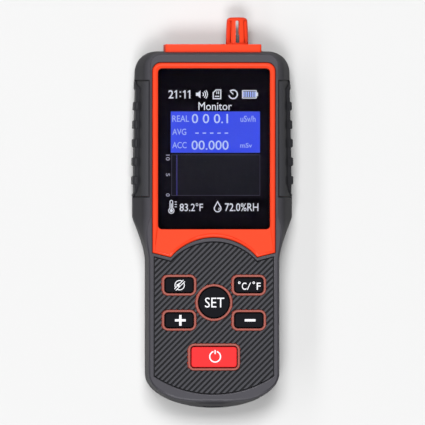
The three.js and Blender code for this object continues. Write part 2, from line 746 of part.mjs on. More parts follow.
function addTube(group) {
  const tube = new THREE.Group();
  tube.position.set(TUBE.x, 0, TUBE.z);
  group.add(tube);
  const { lowY, highY, radius, wall, capR, capDepth } = TUBE;
  const innerR = radius - wall;
  const glassLowY = lowY + 1;
  const glassHighY = highY - 1;
  const glassProfile = [
    [innerR, glassLowY],
    [radius, glassLowY],
    [radius, glassHighY],
    [innerR, glassHighY],
    [innerR, glassLowY],
  ];
  place(tube, "tube_glass", turned(glassProfile), GLASS, 0.1);
  const cathodeR = innerR - 0.15;
  const cathodeProfile = [
    [cathodeR - 0.3, lowY + 9],
    [cathodeR, lowY + 9],
    [cathodeR, highY - 9],
    [cathodeR - 0.3, highY - 9],
    [cathodeR - 0.3, lowY + 9],
  ];
  place(tube, "tube_cathode", turned(cathodeProfile), STEEL, 0.3, 0.9);
  const wire = new THREE.CylinderGeometry(0.4, 0.4, glassHighY - glassLowY, 10);
  place(tube, "tube_anode", wire, NICKEL, 0.3, 0.9).position.set(0, (glassLowY + glassHighY) / 2, 0);
  const capProfile = [
    [0, 0],
    [capR, 0],
    [capR, capDepth],
    [radius + 0.15, capDepth],
    [radius + 0.15, 0.9],
    [0, 0.9],
  ];
  place(tube, "tube_cap_lower", turned(capProfile), NICKEL, 0.3, 0.9).position.set(0, lowY, 0);
  const upper = place(tube, "tube_cap_upper", turned(capProfile), NICKEL, 0.3, 0.9);
  upper.position.set(0, highY, 0);
  upper.rotation.set(Math.PI, 0, 0);
  const clipY = capDepth / 2;
  for (const [name, y] of [["tube_clip_lower", lowY + clipY], ["tube_clip_upper", highY - clipY]]) {
    const clip = placeSolid(tube, name, tubeClip(), NICKEL, 0.35, 0.9);
    clip.position.set(0, y, 0);
    clip.rotation.set(Math.PI / 2, 0, 0);
  }
}

function addBattery(group) {
  const { half, lowY, highY, lowZ, topZ } = BATTERY;
  const cell = roundedRect(2 * half, highY - lowY, 2.5);
  const cellMesh = place(group, "battery_cell", prismGeometry(cell, lowZ, topZ), CELL_SILVER, 0.4, 0.3);
  cellMesh.position.set(0, (lowY + highY) / 2, 0);
  const pad = blockGeometry([-half + 2, lowY + 2, REAR_FLOOR_Z + TOUCH], [half - 2, highY - 2, lowZ - TOUCH]);
  place(group, "battery_pad", pad, FOAM, 0.95);
  const route = new THREE.CatmullRomCurve3([
    new THREE.Vector3(8, highY + 0.4, 9),
    new THREE.Vector3(8, highY + 4, 10),
    new THREE.Vector3(9, highY + 7, 15),
    new THREE.Vector3(9, highY + 7.5, BOARD.lowZ - 0.2),
  ]);
  const section = new THREE.Shape().absarc(0, 0, 0.8, 0, 2 * Math.PI);
  const lead = new THREE.ExtrudeGeometry(section, { extrudePath: route, steps: 10, curveSegments: 4 });
  place(group, "battery_lead", lead, LEAD_RED, 0.5);
}

function addUsbSocket(group) {
  const socket = new THREE.Group();
  socket.position.set(0, 0, USB.z);
  group.add(socket);
  const outline = roundedRect(USB.width, USB.height, USB.height / 2);
  const insideHeight = USB.height - 2 * USB.wall;
  const inside = roundedRect(USB.width - 2 * USB.wall, insideHeight, insideHeight / 2);
  // Outlines are drawn in X and Z and drawn out along Y, from the mouth inwards.
  const along = (shape, lowY, highY) => solid(prismGeometry(shape, -highY, -lowY).rotateX(Math.PI / 2));
  const shell = along(outline, USB.mouthY, USB.backY);
  const hollow = along(inside, USB.mouthY - 1, USB.backY - 0.8);
  placeSolid(socket, "usb_shell", shell.subtract(hollow), STEEL, 0.3, 0.9);
  const tongue = blockGeometry([-3.3, USB.mouthY + 1, -0.35], [3.3, USB.backY - 0.9, 0.35]);
  place(socket, "usb_tongue", tongue, CHIP_BLACK, 0.5);
}

// A cross recess for a screw driver, cut into a head whose face is at the given height.
function crossRecess(x, y, faceZ, arm, depth) {
  const low = faceZ - 1;
  const high = faceZ + depth;
  const wide = block([x - arm, y - 0.3, low], [x + arm, y + 0.3, high]);
  const tall = block([x - 0.3, y - arm, low], [x + 0.3, y + arm, high]);
  return wide.add(tall);
}

// A screw that points upwards, with its head's face at faceZ.
function screw([x, y], faceZ, head, shank) {
  const headTopZ = faceZ + head.height;
  const headPart = pin(x, y, head.radius, faceZ, headTopZ);
  const shankPart = pin(x, y, shank.radius, headTopZ - 0.5, shank.tipZ);
  return headPart.add(shankPart).subtract(crossRecess(x, y, faceZ, head.radius * 0.6, head.height * 0.5));
}

function addScrews(group) {
  CASE_SCREWS.forEach((spot, index) => {
    const body = screw(spot, 2.1, { radius: 2.7, height: 2.1 }, { radius: 1.25, tipZ: 22 });
    placeSolid(group, `case_screw_${index + 1}`, body, STEEL, 0.35, 0.9);
  });
  BOARD_SCREWS.forEach((spot, index) => {
    const body = screw(spot, 20.9, { radius: 2, height: 1.45 }, { radius: 0.95, tipZ: 27 });
    placeSolid(group, `board_screw_${index + 1}`, body, STEEL, 0.35, 0.9);
  });
}

function addElectronics(group) {
  placeSolid(group, "main_board", mainBoard(), BOARD_GREEN, 0.5);
  const under = BOARD.lowZ - TOUCH;
  place(group, "processor", blockGeometry([-5, -12, under - 1.4], [5, -2, under]), CHIP_BLACK, 0.5);
  place(group, "hv_transformer", blockGeometry([4, 40, under - 9], [16, 50, under]), RIBBON_AMBER, 0.6);
  const can = new THREE.CylinderGeometry(6, 6, 6.5, ROUND_STEPS).rotateX(Math.PI / 2);
  place(group, "buzzer", can, CHIP_BLACK, 0.5).position.set(14, 8, under - 3.25);
  addTube(group);
  addBattery(group);
  addUsbSocket(group);
  addScrews(group);
}

// ---- Assembly ----

function addCasing(group) {
  placeSolid(group, "front_cover", frontCover(), DARK_GREY, 0.7);
  placeSolid(group, "front_shell", frontShell(), ORANGE, 0.45);
  placeSolid(group, "rear_cover", rearCover(), DARK_GREY, 0.7);
  placeSolid(group, "case_seal", caseSeal(), RUBBER_GREY, 0.8);
  placeSolid(group, "side_grip_left", sideGrip(-1), RUBBER_GREY, 0.8);
  placeSolid(group, "side_grip_right", sideGrip(1), RUBBER_GREY, 0.8);
}

addCasing(counter);
addTopEnd(counter);
addDisplay(counter);
addKeypad(counter);
addElectronics(counter);

export default counter;
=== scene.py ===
"""The looks of a handheld geiger counter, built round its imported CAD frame. Sizes are in millimetres.

X points to the right of its face, Y to the climate probe at its top end, and Z out of its display.
"""

import math

import bpy
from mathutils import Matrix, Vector
from mathutils.geometry import tessellate_polygon


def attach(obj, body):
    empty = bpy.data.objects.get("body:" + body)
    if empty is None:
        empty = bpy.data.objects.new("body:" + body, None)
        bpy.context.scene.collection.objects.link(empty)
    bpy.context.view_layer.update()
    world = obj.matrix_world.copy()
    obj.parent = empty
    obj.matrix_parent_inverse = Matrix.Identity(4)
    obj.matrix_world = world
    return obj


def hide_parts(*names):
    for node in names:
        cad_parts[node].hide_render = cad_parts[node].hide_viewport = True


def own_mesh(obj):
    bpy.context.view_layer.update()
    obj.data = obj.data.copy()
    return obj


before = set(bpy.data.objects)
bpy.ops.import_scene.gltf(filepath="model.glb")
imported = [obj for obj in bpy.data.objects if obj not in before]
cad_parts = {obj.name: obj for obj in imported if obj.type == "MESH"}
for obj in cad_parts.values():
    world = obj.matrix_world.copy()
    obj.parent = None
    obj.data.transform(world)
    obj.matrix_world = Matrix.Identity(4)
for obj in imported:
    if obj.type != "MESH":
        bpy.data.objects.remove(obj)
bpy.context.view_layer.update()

MM = 0.001

# ---- Driving dimensions, as in the CAD ----

LENGTH = 191.6
HEAD_HALF = 39.2
GRIP_HALF = 32.9
TOP_Y = 79.1
TOP_CORNER_R = 10.5
HEAD_WIDEST_Y = 15
HEAD_NARROWING = 1.2
TAPER = [(0, -2), (0.08, -5), (0.98, -16), (1, -24)]
END_ARC_Y = -79.1
END_ARC_HEIGHT = LENGTH / 2 + END_ARC_Y
RIM = {"head_half": 31.3, "top_y": 77.4, "corner_r": 5, "grip_half": 31, "end_height": 14.1}

SHOULDER = {"across": 0.55, "up": 0.72}
DRAFT = 0.05
BACK_EDGE = {"inset": 5, "z": 11}
SPLIT_Z = 15
FRONT_LOW_Z = SPLIT_Z + 0.2
HEAD_BREAK_Z = 17.5
TOP_BREAK_Z = 29.5
GRIP_BREAK_Z = 29.6
RIM_Z = 32
PANEL_Z = 31.4
COLLAR_Z = 32.6
LENS_Z = 33
BEZEL_Z = 33.4
LENS_SEAT_Z = 30.4
KEY_Z = 34

COVER_WALL = 2
SHELL_INSET = 2.3
PANEL_LOW_Z = RIM_Z - SHELL_INSET + 0.05
SHELL_INNER_INSET = 4
REAR_WALL = 3.2
REAR_FLOOR_Z = 2.6
SLIT = 0.25
PANEL_SLIT = 0.45
SEAM = {"width": 0.7, "depth": 0.9}

BEZEL = {
    "half": 30.1,
    "top_y": 73.4,
    "corner_r": 4.2,
    "side_y": -19.7,
    "tip_x": 21.3,
    "tip_y": -21.9,
    "apex_y": -12.2,
}
LENS = {"width": 54.7, "height": 78.6, "y": 31.2, "radius": 2, "thickness": 1.5}
WINDOW = {"width": 50.2, "height": 66.4, "y": 30.2}
LCD = {"width": 53.4, "height": 76, "y": 31.1, "low_z": 27.05, "step_z": 27.9}
PANEL = {
    "half": 29,
    "side_y": -22.1,
    "tip_x": 21,
    "tip_y": -24.3,
    "apex_y": -14.7,
    "corner_y": -80,
    "end_y": -88.7,
}
RIB = {"pitch": 2.01, "groove": 0.9, "depth": 1.2, "lip": 0.15, "reach": 75, "middle_y": -52}

SMALL_KEY = {"width": 14.5, "height": 7.9, "radius": 1.9}
KEYS = {
    "mute": {"x": -17.1, "y": -35.6, **SMALL_KEY},
    "unit": {"x": 17.1, "y": -35.6, **SMALL_KEY},
    "set": {"x": 0, "y": -44.1, "width": 15.8, "height": 15.8, "radius": 7.9},
    "plus": {"x": -17.1, "y": -52.8, **SMALL_KEY},
    "minus": {"x": 17.1, "y": -52.8, **SMALL_KEY},
    "power": {"x": 0, "y": -70.8, "width": 23.2, "height": 10.9, "radius": 1.9},
}
COLLAR_WALL = 1.15
COLLAR_LOW_Z = 29.7
COLLAR_INNER_Z = 28
KEY_GAP = 0.45
KEY_EDGE_R = 0.55
KEY_FLANGE = 0.8
FLANGE_Z = 26.6
WEB_WALL = 0.7
WEB_LOW_Z = 25.1
WEB_WAIST_Z = 25.8

GRIP = {
    "inner_x": 31.9,
    "root_x": 37.3,
    "crease_x": 36.7,
    "outer_x": 38.6,
    "low_y": 8,
    "high_y": 64.3,
    "low_z": 5,
    "shelf_z": 22.6,
    "high_z": 31.5,
}
GRIP_RIB = {"count": 5, "first_y": 15.8, "pitch": 9.1, "width": 3.9}

CAP = {"half": 23.6, "flange_y": 72.9, "top_y": 82.5, "low_z": 7, "high_z": 27}
PROBE = {"x": 12.1, "z": 17, "hole_r": 4.9}
PROBE_SLOT = {"count": 8, "width": 1.9, "height": 11, "y": 88.7}
USB = {"z": 20.7, "width": 8.9, "height": 3.2}
CASE_SCREWS = [(-30.5, 62), (30.5, 62), (-22.5, -80), (22.5, -80)]
BOSS = {"radius": 3.6, "head_r": 3, "head_z": 4.3, "shank_r": 1.6}
WINDOW_SLOT = {"count": 9, "x": -19.5, "first_y": 8, "pitch": 5, "width": 14, "height": 2}
SOUND_HOLE = {"x": 14, "y": 8, "pitch": 4.5, "radius": 1.1}

# ---- Small helpers ----


def mix(a, b, share):
    return a + (b - a) * share


def smoothstep(low, high, value):
    share = min(max((value - low) / (high - low), 0), 1)
    return share * share * (3 - 2 * share)


def srgb(red, green, blue):
    """A colour given in 8-bit sRGB, as the linear values that a shader takes."""
    channels = [value / 255 for value in (red, green, blue)]
    linear = [c / 12.92 if c <= 0.04045 else ((c + 0.055) / 1.055) ** 2.4 for c in channels]
    return (*linear, 1)


# ---- Materials ----


def noise(nodes, links, coordinate, size_mm, detail=2):
    """A noise texture whose blotches are about size_mm wide."""
    texture = nodes.new("ShaderNodeTexNoise")
    texture.inputs["Scale"].default_value = 1 / (size_mm * MM)
    texture.inputs["Detail"].default_value = detail
    links.new(coordinate, texture.inputs["Vector"])
    return texture.outputs["Fac"]


def map_range(nodes, links, source, **ends):
    """A range map of a socket. Its ends are given as from_min, from_max, to_min and to_max."""
    mapped = nodes.new("ShaderNodeMapRange")
    for name, value in ends.items():
        mapped.inputs[name.replace("_", " ").title()].default_value = value
    links.new(source, mapped.inputs["Value"])
    return mapped.outputs["Result"]


def blank(name):
    """A new material, with its nodes, its links and its shader's inputs."""
    material = bpy.data.materials.new(name)
    material.use_nodes = True
    nodes = material.node_tree.nodes
    return material, nodes, material.node_tree.links, nodes["Principled BSDF"].inputs


GRAIN_SHARE = 0.4
SHINE_CHANGE = 0.07


def mottled(nodes, links, color, change, patches, fine):
    """A colour that wanders by a share of itself, mostly with the patches and partly with the grain."""
    tone = nodes.new("ShaderNodeMix")
    tone.data_type = "RGBA"
    tone.inputs[6].default_value = (*[c * (1 - change) for c in color[:3]], 1)
    tone.inputs[7].default_value = (*[min(c * (1 + change), 1) for c in color[:3]], 1)
    blend = nodes.new("ShaderNodeMath")
    blend.operation = "MULTIPLY_ADD"
    blend.inputs[1].default_value = GRAIN_SHARE
    links.new(fine, blend.inputs[0])
    scaled = nodes.new("ShaderNodeMath")
    scaled.operation = "MULTIPLY"
    scaled.inputs[1].default_value = 1 - GRAIN_SHARE
    links.new(patches, scaled.inputs[0])
    links.new(scaled.outputs[0], blend.inputs[2])
    links.new(blend.outputs[0], tone.inputs[0])
    return tone.outputs[2]


def surface(
    name, color, roughness, metallic=0, specular=0.5, coat=0,
    grain=0.3, bump=0.03, patch=0.08, patch_size=9, edge=0,
):
    """A moulded or machined finish: grain in relief, slow changes of tone and shine, and rounded edges."""
    material, nodes, links, shader = blank(name)
    shader["Metallic"].default_value = metallic
    shader["Specular IOR Level"].default_value = specular
    shader["Coat Weight"].default_value = coat
    shader["Coat Roughness"].default_value = 0.22
    place = nodes.new("ShaderNodeTexCoord").outputs["Object"]
    patches = noise(nodes, links, place, patch_size, 4)
    fine = noise(nodes, links, place, grain, 3)
    links.new(mottled(nodes, links, color, patch, patches, fine), shader["Base Color"])

    dull, shiny = min(roughness + SHINE_CHANGE, 1), max(roughness - SHINE_CHANGE, 0.02)
    shine = map_range(nodes, links, patches, to_min=shiny, to_max=dull)
    links.new(shine, shader["Roughness"])

    relief = nodes.new("ShaderNodeBump")
    relief.inputs["Strength"].default_value = 1
    relief.inputs["Distance"].default_value = bump * MM
    links.new(fine, relief.inputs["Height"])
    links.new(relief.outputs["Normal"], shader["Normal"])
    if edge:
        rounding = nodes.new("ShaderNodeBevel")
        rounding.samples = 4
        rounding.inputs["Radius"].default_value = edge * MM
        links.new(rounding.outputs["Normal"], relief.inputs["Normal"])
    return material


def paint_shade_by_height(material, low_z, high_z, share):
    """Paints shade into a finish: takes it down to a share of its tone below low_z, with a blend up to
    high_z.
    """
    nodes = material.node_tree.nodes
    links = material.node_tree.links
    target = nodes["Principled BSDF"].inputs["Base Color"]
    place = nodes.new("ShaderNodeTexCoord").outputs["Object"]
    split = nodes.new("ShaderNodeSeparateXYZ")
    links.new(place, split.inputs["Vector"])
    height = split.outputs["Z"]
    level = map_range(nodes, links, height, from_min=low_z * MM, from_max=high_z * MM, to_min=share)
    shade = nodes.new("ShaderNodeVectorMath")
    shade.operation = "SCALE"
    links.new(target.links[0].from_socket, shade.inputs["Vector"])
    links.new(level, shade.inputs["Scale"])
    links.new(shade.outputs["Vector"], target)


def glowing(name, color, strength):
    """A lit area of the display."""
    material, _, _, shader = blank(name)
    shader["Base Color"].default_value = (0.01, 0.01, 0.012, 1)
    shader["Roughness"].default_value = 0.6
    shader["Specular IOR Level"].default_value = 0
    shader["Emission Color"].default_value = color
    shader["Emission Strength"].default_value = strength
    return material


def clear_glass(name, color, roughness, ior):
    material, nodes, links, shader = blank(name)
    shader["Base Color"].default_value = color
    shader["Transmission Weight"].default_value = 1
    shader["IOR"].default_value = ior
    place = nodes.new("ShaderNodeTexCoord").outputs["Object"]
    smears = noise(nodes, links, place, 14, 3)
    shine = map_range(nodes, links, smears, to_min=roughness, to_max=roughness + 0.01)
    links.new(shine, shader["Roughness"])
    return material


MOULDED = {"grain": 0.18, "bump": 0.012}

# Each finish: its sRGB colour, roughness, and what else surface() takes.
FINISHES = {
    "soft_grey": ((64, 63, 68), 0.7, dict(grain=0.22, bump=0.012, edge=0.2, specular=0.03, coat=0.15)),
    "hard_grey": ((56, 55, 60), 0.65, dict(grain=0.3, bump=0.05, edge=0.25, specular=0.1)),
    "panel_grey": ((62, 62, 66), 0.65, dict(grain=0.2, bump=0.02, specular=0.05)),
    "grip_rubber": ((60, 60, 64), 0.7, dict(grain=0.25, bump=0.02, specular=0.03, coat=0.15)),
    "seal_rubber": ((40, 40, 44), 0.8, dict(grain=0.4, bump=0.03)),
    "orange_plastic": ((216, 60, 32), 0.6, dict(specular=0.03, coat=0.1, patch=0.04, edge=0.2, **MOULDED)),
    # The collars' finish is the shell's orange made darker and greyer: painted shade on the thin collars.
    "shaded_collar_orange": ((144, 82, 74), 0.6, dict(specular=0.05, patch=0.04, edge=0.15, **MOULDED)),
    "black_board": ((26, 26, 28), 0.5, dict(grain=0.5, bump=0.02)),
    "nickel": ((201, 198, 189), 0.3, dict(metallic=1, grain=0.5, bump=0.01)),
    "mask_black": ((10, 9, 13), 0.5, dict(grain=0.3, bump=0.004, specular=0)),
    "display": ((13, 11, 17), 0.45, dict(grain=0.4, bump=0.002, specular=0)),
    "graph": ((25, 25, 30), 0.5, dict(grain=0.4, bump=0.002, specular=0)),
    "pressed_steel": ((184, 188, 194), 0.32, dict(metallic=1, grain=0.6, bump=0.02)),
    "black_plastic": ((30, 30, 33), 0.55, dict(grain=0.3, bump=0.02)),
    "ribbon": ((181, 112, 42), 0.45, dict(grain=0.6, bump=0.01)),
    "board": ((20, 73, 46), 0.42, dict(grain=0.7, bump=0.03)),
    "winding": ((170, 96, 40), 0.45, dict(grain=0.4, bump=0.08)),
    "cell_wrap": ((169, 173, 179), 0.38, dict(metallic=0.6, grain=1.2, bump=0.03)),
    "foam": ((216, 212, 200), 0.9, dict(grain=0.5, bump=0.15)),
    "lead": ((176, 32, 32), 0.45, dict(grain=0.4, bump=0.01)),
    "silicone": ((138, 143, 150), 0.65, dict(grain=0.4, bump=0.02)),
    "carbon": ((22, 22, 22), 0.8, dict(grain=0.2, bump=0.03)),
    "screw_steel": ((150, 152, 156), 0.34, dict(metallic=1, grain=0.3, bump=0.02)),
    "key_black": ((18, 18, 22), 0.6, dict(grain=0.2, bump=0.01, specular=0.02)),
    "key_red": ((204, 40, 42), 0.42, dict(grain=0.2, bump=0.012, patch=0.04, specular=0.05)),
    "legend": ((200, 200, 204), 0.5, dict(grain=0.2, bump=0.004, patch=0.03)),
}
MATERIALS = {name: surface(name, srgb(*rgb), rough, **more) for name, (rgb, rough, more) in FINISHES.items()}
MATERIALS["tube_glass"] = clear_glass("tube_glass", (0.86, 0.94, 0.92, 1), 0.02, ior=1.45)
# The lens bends light less than real glass, so that the mirror image of a lamp doesn't hide the display.
MATERIALS["lens_glass"] = clear_glass("lens_glass", (0.97, 0.97, 0.98, 1), 0.0, ior=1.12)

# Each finish with painted shade low down, in the panel's grooves and on the sides of the front cover and the
# grips: the height where its painted shade is full, where it ends, and the tone left.
PAINTED_LOW_SHADES = {
    "panel_grey": (PANEL_Z - 0.7, PANEL_Z - 0.15, 0.35),
    "soft_grey": (RIM_Z - 4, RIM_Z - 0.6, 0.45),
    "grip_rubber": (25.5, 30.8, 0.42),
}
for shaded_name, shading in PAINTED_LOW_SHADES.items():
    paint_shade_by_height(MATERIALS[shaded_name], *shading)

# Each lit colour: sRGB and strength.
LIT = {
    "white": ((232, 236, 244), 0.85),
    "pale": ((196, 214, 255), 0.85),
    "dim": ((176, 196, 255), 0.85),
    "blue": ((52, 76, 236), 0.95),
    "violet": ((60, 50, 130), 0.8),
    "grey": ((200, 200, 210), 0.8),
    "line": ((62, 62, 76), 0.8),
}
MATERIALS |= {name: glowing(f"glow_{name}", srgb(*rgb), strength) for name, (rgb, strength) in LIT.items()}


# ---- Meshes ----

SHARP_DEGREES = 32
MITRE_LIMIT = 0.35


class Skin:
    """The points and faces of one mesh, collected ring by ring. Rings run anticlockwise seen from +Z."""

    def __init__(self):
        self.points = []
        self.faces = []

    def add(self, points, faces=()):
        """Adds points, and faces that count from the first of them."""
        first = len(self.points)
        self.points += points
        self.faces += [tuple(first + index for index in face) for face in faces]
        return list(range(first, len(self.points)))

    def ring(self, outline, z):
        """Adds a ring. z is one height, or one for each point."""
        heights = z if isinstance(z, (list, tuple)) else [z] * len(outline)
        return self.add([(x, y, height) for (x, y), height in zip(outline, heights)])

    def wall(self, low, high):
        """Faces between two rings, outward when low is below high on an outer side."""
        count = len(low)
        for step in range(count):
            after = (step + 1) % count
            self.faces.append((low[step], low[after], high[after], high[step]))

    def walls(self, rings):
        for low, high in zip(rings, rings[1:]):
            self.wall(low, high)

    def bore(self, rings):
        """The wall of a hole, from its lowest ring up."""
        self.walls([ring[::-1] for ring in rings])

    def loft(self, outline, profile, way=-1):
        """Rings at each (inset, z) of a profile. With way=1 the insets go outwards, as in a hole."""
        return [self.ring(offset(outline, way * inset), z) for inset, z in profile]

    def cap(self, outer, holes=(), up=True):
        """A face across the outer ring, around the holes."""
        rings = [outer, *holes]
        order = [index for ring in rings for index in ring]
        flat = [[Vector((*self.points[index][:2], 0)) for index in ring] for ring in rings]
        for corners in tessellate_polygon(flat):
            a, b, c = (order[corner] for corner in corners)
            (ax, ay), (bx, by), (cx, cy) = (self.points[index][:2] for index in (a, b, c))
            area = (bx - ax) * (cy - ay) - (cx - ax) * (by - ay)
            if abs(area) > 1e-9:
                self.faces.append((a, b, c) if (area > 0) == up else (a, c, b))

    def face(self, outer, holes=(), margin=0.03):
        """An upper face with a narrow strip along its edges, so that they don't bend its shading."""
        strips = []
        for ring, move in [(outer, -margin), *[(hole, margin) for hole in holes]]:
            outline = [self.points[index][:2] for index in ring]
            heights = [self.points[index][2] for index in ring]
            strips.append(self.ring(offset(outline, move), heights))
        self.wall(outer, strips[0])
        for hole, strip in zip(holes, strips[1:]):
            self.wall(hole[::-1], strip[::-1])
        self.cap(strips[0], strips[1:])

    def close(self, rings):
        """The walls and both ends of a solid, from its lowest ring up."""
        self.walls(rings)
        self.cap(rings[-1])
        self.cap(rings[0], up=False)
        return self

    def turned(self, axis_map):
        """Sends each point through a function of its three coordinates."""
        self.points = [axis_map(*point) for point in self.points]
        return self

    def piece(self, name, finish, sharp=SHARP_DEGREES):
        """The mesh object, smooth except where its faces turn by more than sharp degrees."""
        mesh = bpy.data.meshes.new(name)
        mesh.from_pydata([[c * MM for c in point] for point in self.points], [], self.faces)
        mesh.materials.append(MATERIALS[finish])
        mesh.shade_smooth()
        mesh.set_sharp_from_angle(angle=math.radians(sharp))
        piece = bpy.data.objects.new(name, mesh)
        bpy.context.scene.collection.objects.link(piece)
        return piece


def offset(outline, distance):
    """An outline moved outwards by a distance, or by one for each point, with mitred corners."""
    moves = distance if isinstance(distance, (list, tuple)) else [distance] * len(outline)
    result = []
    count = len(outline)
    for step, (x, y) in enumerate(outline):
        before = Vector((x, y)) - Vector(outline[step - 1])
        after = Vector(outline[(step + 1) % count]) - Vector((x, y))
        normals = [Vector((side.y, -side.x)).normalized() for side in (before, after)]
        middle = (normals[0] + normals[1]).normalized()
        reach = moves[step] / max(middle.dot(normals[0]), MITRE_LIMIT)
        result.append((x + middle.x * reach, y + middle.y * reach))
    return result


def arc(radius, x, y, start, sweep, steps):
    """Points on part of a circle, from a start angle through a sweep, in degrees."""
    angles = [math.radians(start + sweep * step / steps) for step in range(steps + 1)]
    return [(x + radius * math.cos(angle), y + radius * math.sin(angle)) for angle in angles]


def rounded_rect(width, height, radius, x=0, y=0, steps=8):
    points = []
    for side_x, side_y, start in ((1, 1, 0), (-1, 1, 90), (-1, -1, 180), (1, -1, 270)):
        corner_x = x + side_x * (width / 2 - radius)
        corner_y = y + side_y * (height / 2 - radius)
        points += arc(radius, corner_x, corner_y, start, 90, steps)
    return merged(points)


def merged(points, nearest=1e-4):
    """An outline without points that lie on the one before."""
    return [point for step, point in enumerate(points) if math.dist(point, points[step - 1]) > nearest]


def circle(radius, x=0, y=0, steps=48):
    angles = [2 * math.pi * step / steps for step in range(steps)]
    return [(x + radius * math.cos(angle), y + radius * math.sin(angle)) for angle in angles]


def plate(skin, outline, profile, holes=(), hole_profile=None):
    """A plate from its underside to its top. A profile is made of (inset, z), and holes widen by theirs."""
    outer = skin.loft(outline, profile)
    skin.walls(outer)
    inner = []
    for hole in holes:
        inner.append(skin.loft(hole, hole_profile, 1))
        skin.bore(inner[-1])
    skin.face(outer[-1], [rings[-1] for rings in inner])
    skin.cap(outer[0], [rings[0] for rings in inner], up=False)
    return skin


def slab(skin, outline, low_z, high_z, holes=()):
    """A plate with straight walls."""
    levels = [(0, low_z), (0, high_z)]
    return plate(skin, outline, levels, holes, levels)


RING_GAP = 0.06


def edge_profile(low_z, high_z, radius, steps=4):
    """A profile that goes straight up and then rounds over at its top. Close rings keep the flats flat."""
    turns = [math.radians(90 * step / steps) for step in range(steps + 1)]
    rounding = [(radius * (1 - math.cos(turn)), high_z - radius * (1 - math.sin(turn))) for turn in turns]
    return [(0, low_z), (0, high_z - radius - RING_GAP), *rounding, (radius + RING_GAP, high_z)]


def block(low, high):
    """A plain box, used to cut others."""
    outline = [(low[0], low[1]), (high[0], low[1]), (high[0], high[1]), (low[0], high[1])]
    return slab(Skin(), outline, low[2], high[2])


def carve(piece, tools, operation="DIFFERENCE"):
    """Cuts a piece with throwaway skins, or joins it with them."""
    for number, tool in enumerate(tools):
        cutter = tool.piece(f"tool_{number}", "hard_grey")
        cutter.data.materials[0] = piece.data.materials[0]
        modifier = piece.modifiers.new("carve", "BOOLEAN")
        modifier.object = cutter
        modifier.operation = operation
        modifier.solver = "EXACT"
        view = bpy.context.evaluated_depsgraph_get()
        result = bpy.data.meshes.new_from_object(piece.evaluated_get(view))
        piece.modifiers.clear()
        piece.data = result
        bpy.data.objects.remove(cutter)
    piece.data.shade_smooth()
    piece.data.set_sharp_from_angle(angle=math.radians(SHARP_DEGREES))
    return piece


def settle(piece, body, slot, *nodes):
    """Puts a finished piece on its body, in place of its CAD nodes."""
    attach(piece, body)
    if nodes:
        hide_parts(*nodes)


# ---- Outlines of the casing ----

CORNER_STEPS = 14
SIDE_STEPS = 8
TAPER_STEPS = 22
END_STEPS = 30
CHAMFER_TURN = 0.5  # share of the end's quarter turn at which the dark chamfer starts


def bezier(points, share):
    a, b, c, d = (Vector(point) for point in points)
    rest = 1 - share
    return a * rest**3 + b * 3 * rest**2 * share + c * 3 * rest * share**2 + d * share**3


def end_turns():
    """Shares of a quarter turn round the bottom end, with one more just past where its chamfer starts."""
    turns = [step / END_STEPS for step in range(END_STEPS + 1)]
    return sorted({*turns, CHAMFER_TURN + 0.004})


def head_narrowing(y):
    """How much narrower each half of the head is at y than where it is widest."""
    up = max((y - HEAD_WIDEST_Y) / (TOP_Y - TOP_CORNER_R - HEAD_WIDEST_Y), 0)
    return HEAD_NARROWING * min(up, 1) ** 1.5


def half_loop(head_half, top_y, corner_r, grip_half, end_height, narrowing=0):
    """The right half of a loop from the top to the bottom, as (x, y, how far it has narrowed, end turn)."""
    points = []
    for step in range(CORNER_STEPS + 1):
        angle = math.radians(90 * (1 - step / CORNER_STEPS))
        x = head_half - narrowing - corner_r * (1 - math.cos(angle))
        y = top_y - corner_r * (1 - math.sin(angle))
        points.append((x, y, step / CORNER_STEPS - 1, 0))
    for step in range(1, SIDE_STEPS + 1):
        up = 1 - step / SIDE_STEPS
        y = mix(HEAD_WIDEST_Y, top_y - corner_r, up)
        points.append((head_half - narrowing * up**1.5, y, 0, 0))
    for step in range(TAPER_STEPS + 1):
        narrowed, y = bezier(TAPER, step / TAPER_STEPS)
        points.append((mix(head_half, grip_half, narrowed), y, narrowed, 0))
    for turn in end_turns():
        angle = math.radians(90 * turn)
        points.append((grip_half * math.cos(angle), END_ARC_Y - end_height * math.sin(angle), 1, turn))
    return points


def whole_loop(half):
    """Both halves of a loop, anticlockwise from the front."""
    left = [(-x, y, *rest) for x, y, *rest in half[:-1]]
    last = half[-1]
    return [*left, (0, *last[1:]), *half[:-1][::-1]]


def casing_loop(**sizes):
    return [point[:2] for point in whole_loop(half_loop(**sizes))]


def outer_sizes(inset):
    return {
        "head_half": HEAD_HALF - inset,
        "top_y": TOP_Y - inset,
        "corner_r": TOP_CORNER_R - inset,
        "grip_half": GRIP_HALF - inset,
        "end_height": END_ARC_HEIGHT - inset,
        "narrowing": HEAD_NARROWING,
    }


def outer_loop(inset=0):
    return casing_loop(**outer_sizes(inset))


def rim_loop(inset=0):
    return casing_loop(**{key: value - inset for key, value in RIM.items()})


LOOP_MARKS = [point[2:] for point in whole_loop(half_loop(**outer_sizes(0)))]


def rounded_line(points, radii, steps=4):
    """A line of (across, z) points whose inner corners are rounded over by their radii."""
    result = [points[0]]
    for before, corner, after, radius in zip(points, points[1:], points[2:], radii):
        corner = Vector(corner)
        to_before = Vector(before) - corner
        to_after = Vector(after) - corner
        start = corner + to_before.normalized() * min(radius, to_before.length * 0.49)
        end = corner + to_after.normalized() * min(radius, to_after.length * 0.49)
        for step in range(steps + 1):
            share = step / steps
            point = start * (1 - share) ** 2 + corner * 2 * share * (1 - share) + end * share**2
            result.append(tuple(point))
    result.append(points[-1])
    return result


def mark_break(mark):
    """The height at which the side wall turns into the front facet."""
    narrowed = mark[0]
    if narrowed < 0:
        return mix(TOP_BREAK_Z, HEAD_BREAK_Z, math.sin((1 + narrowed) * math.pi / 2))
    return mix(HEAD_BREAK_Z, GRIP_BREAK_Z, narrowed)


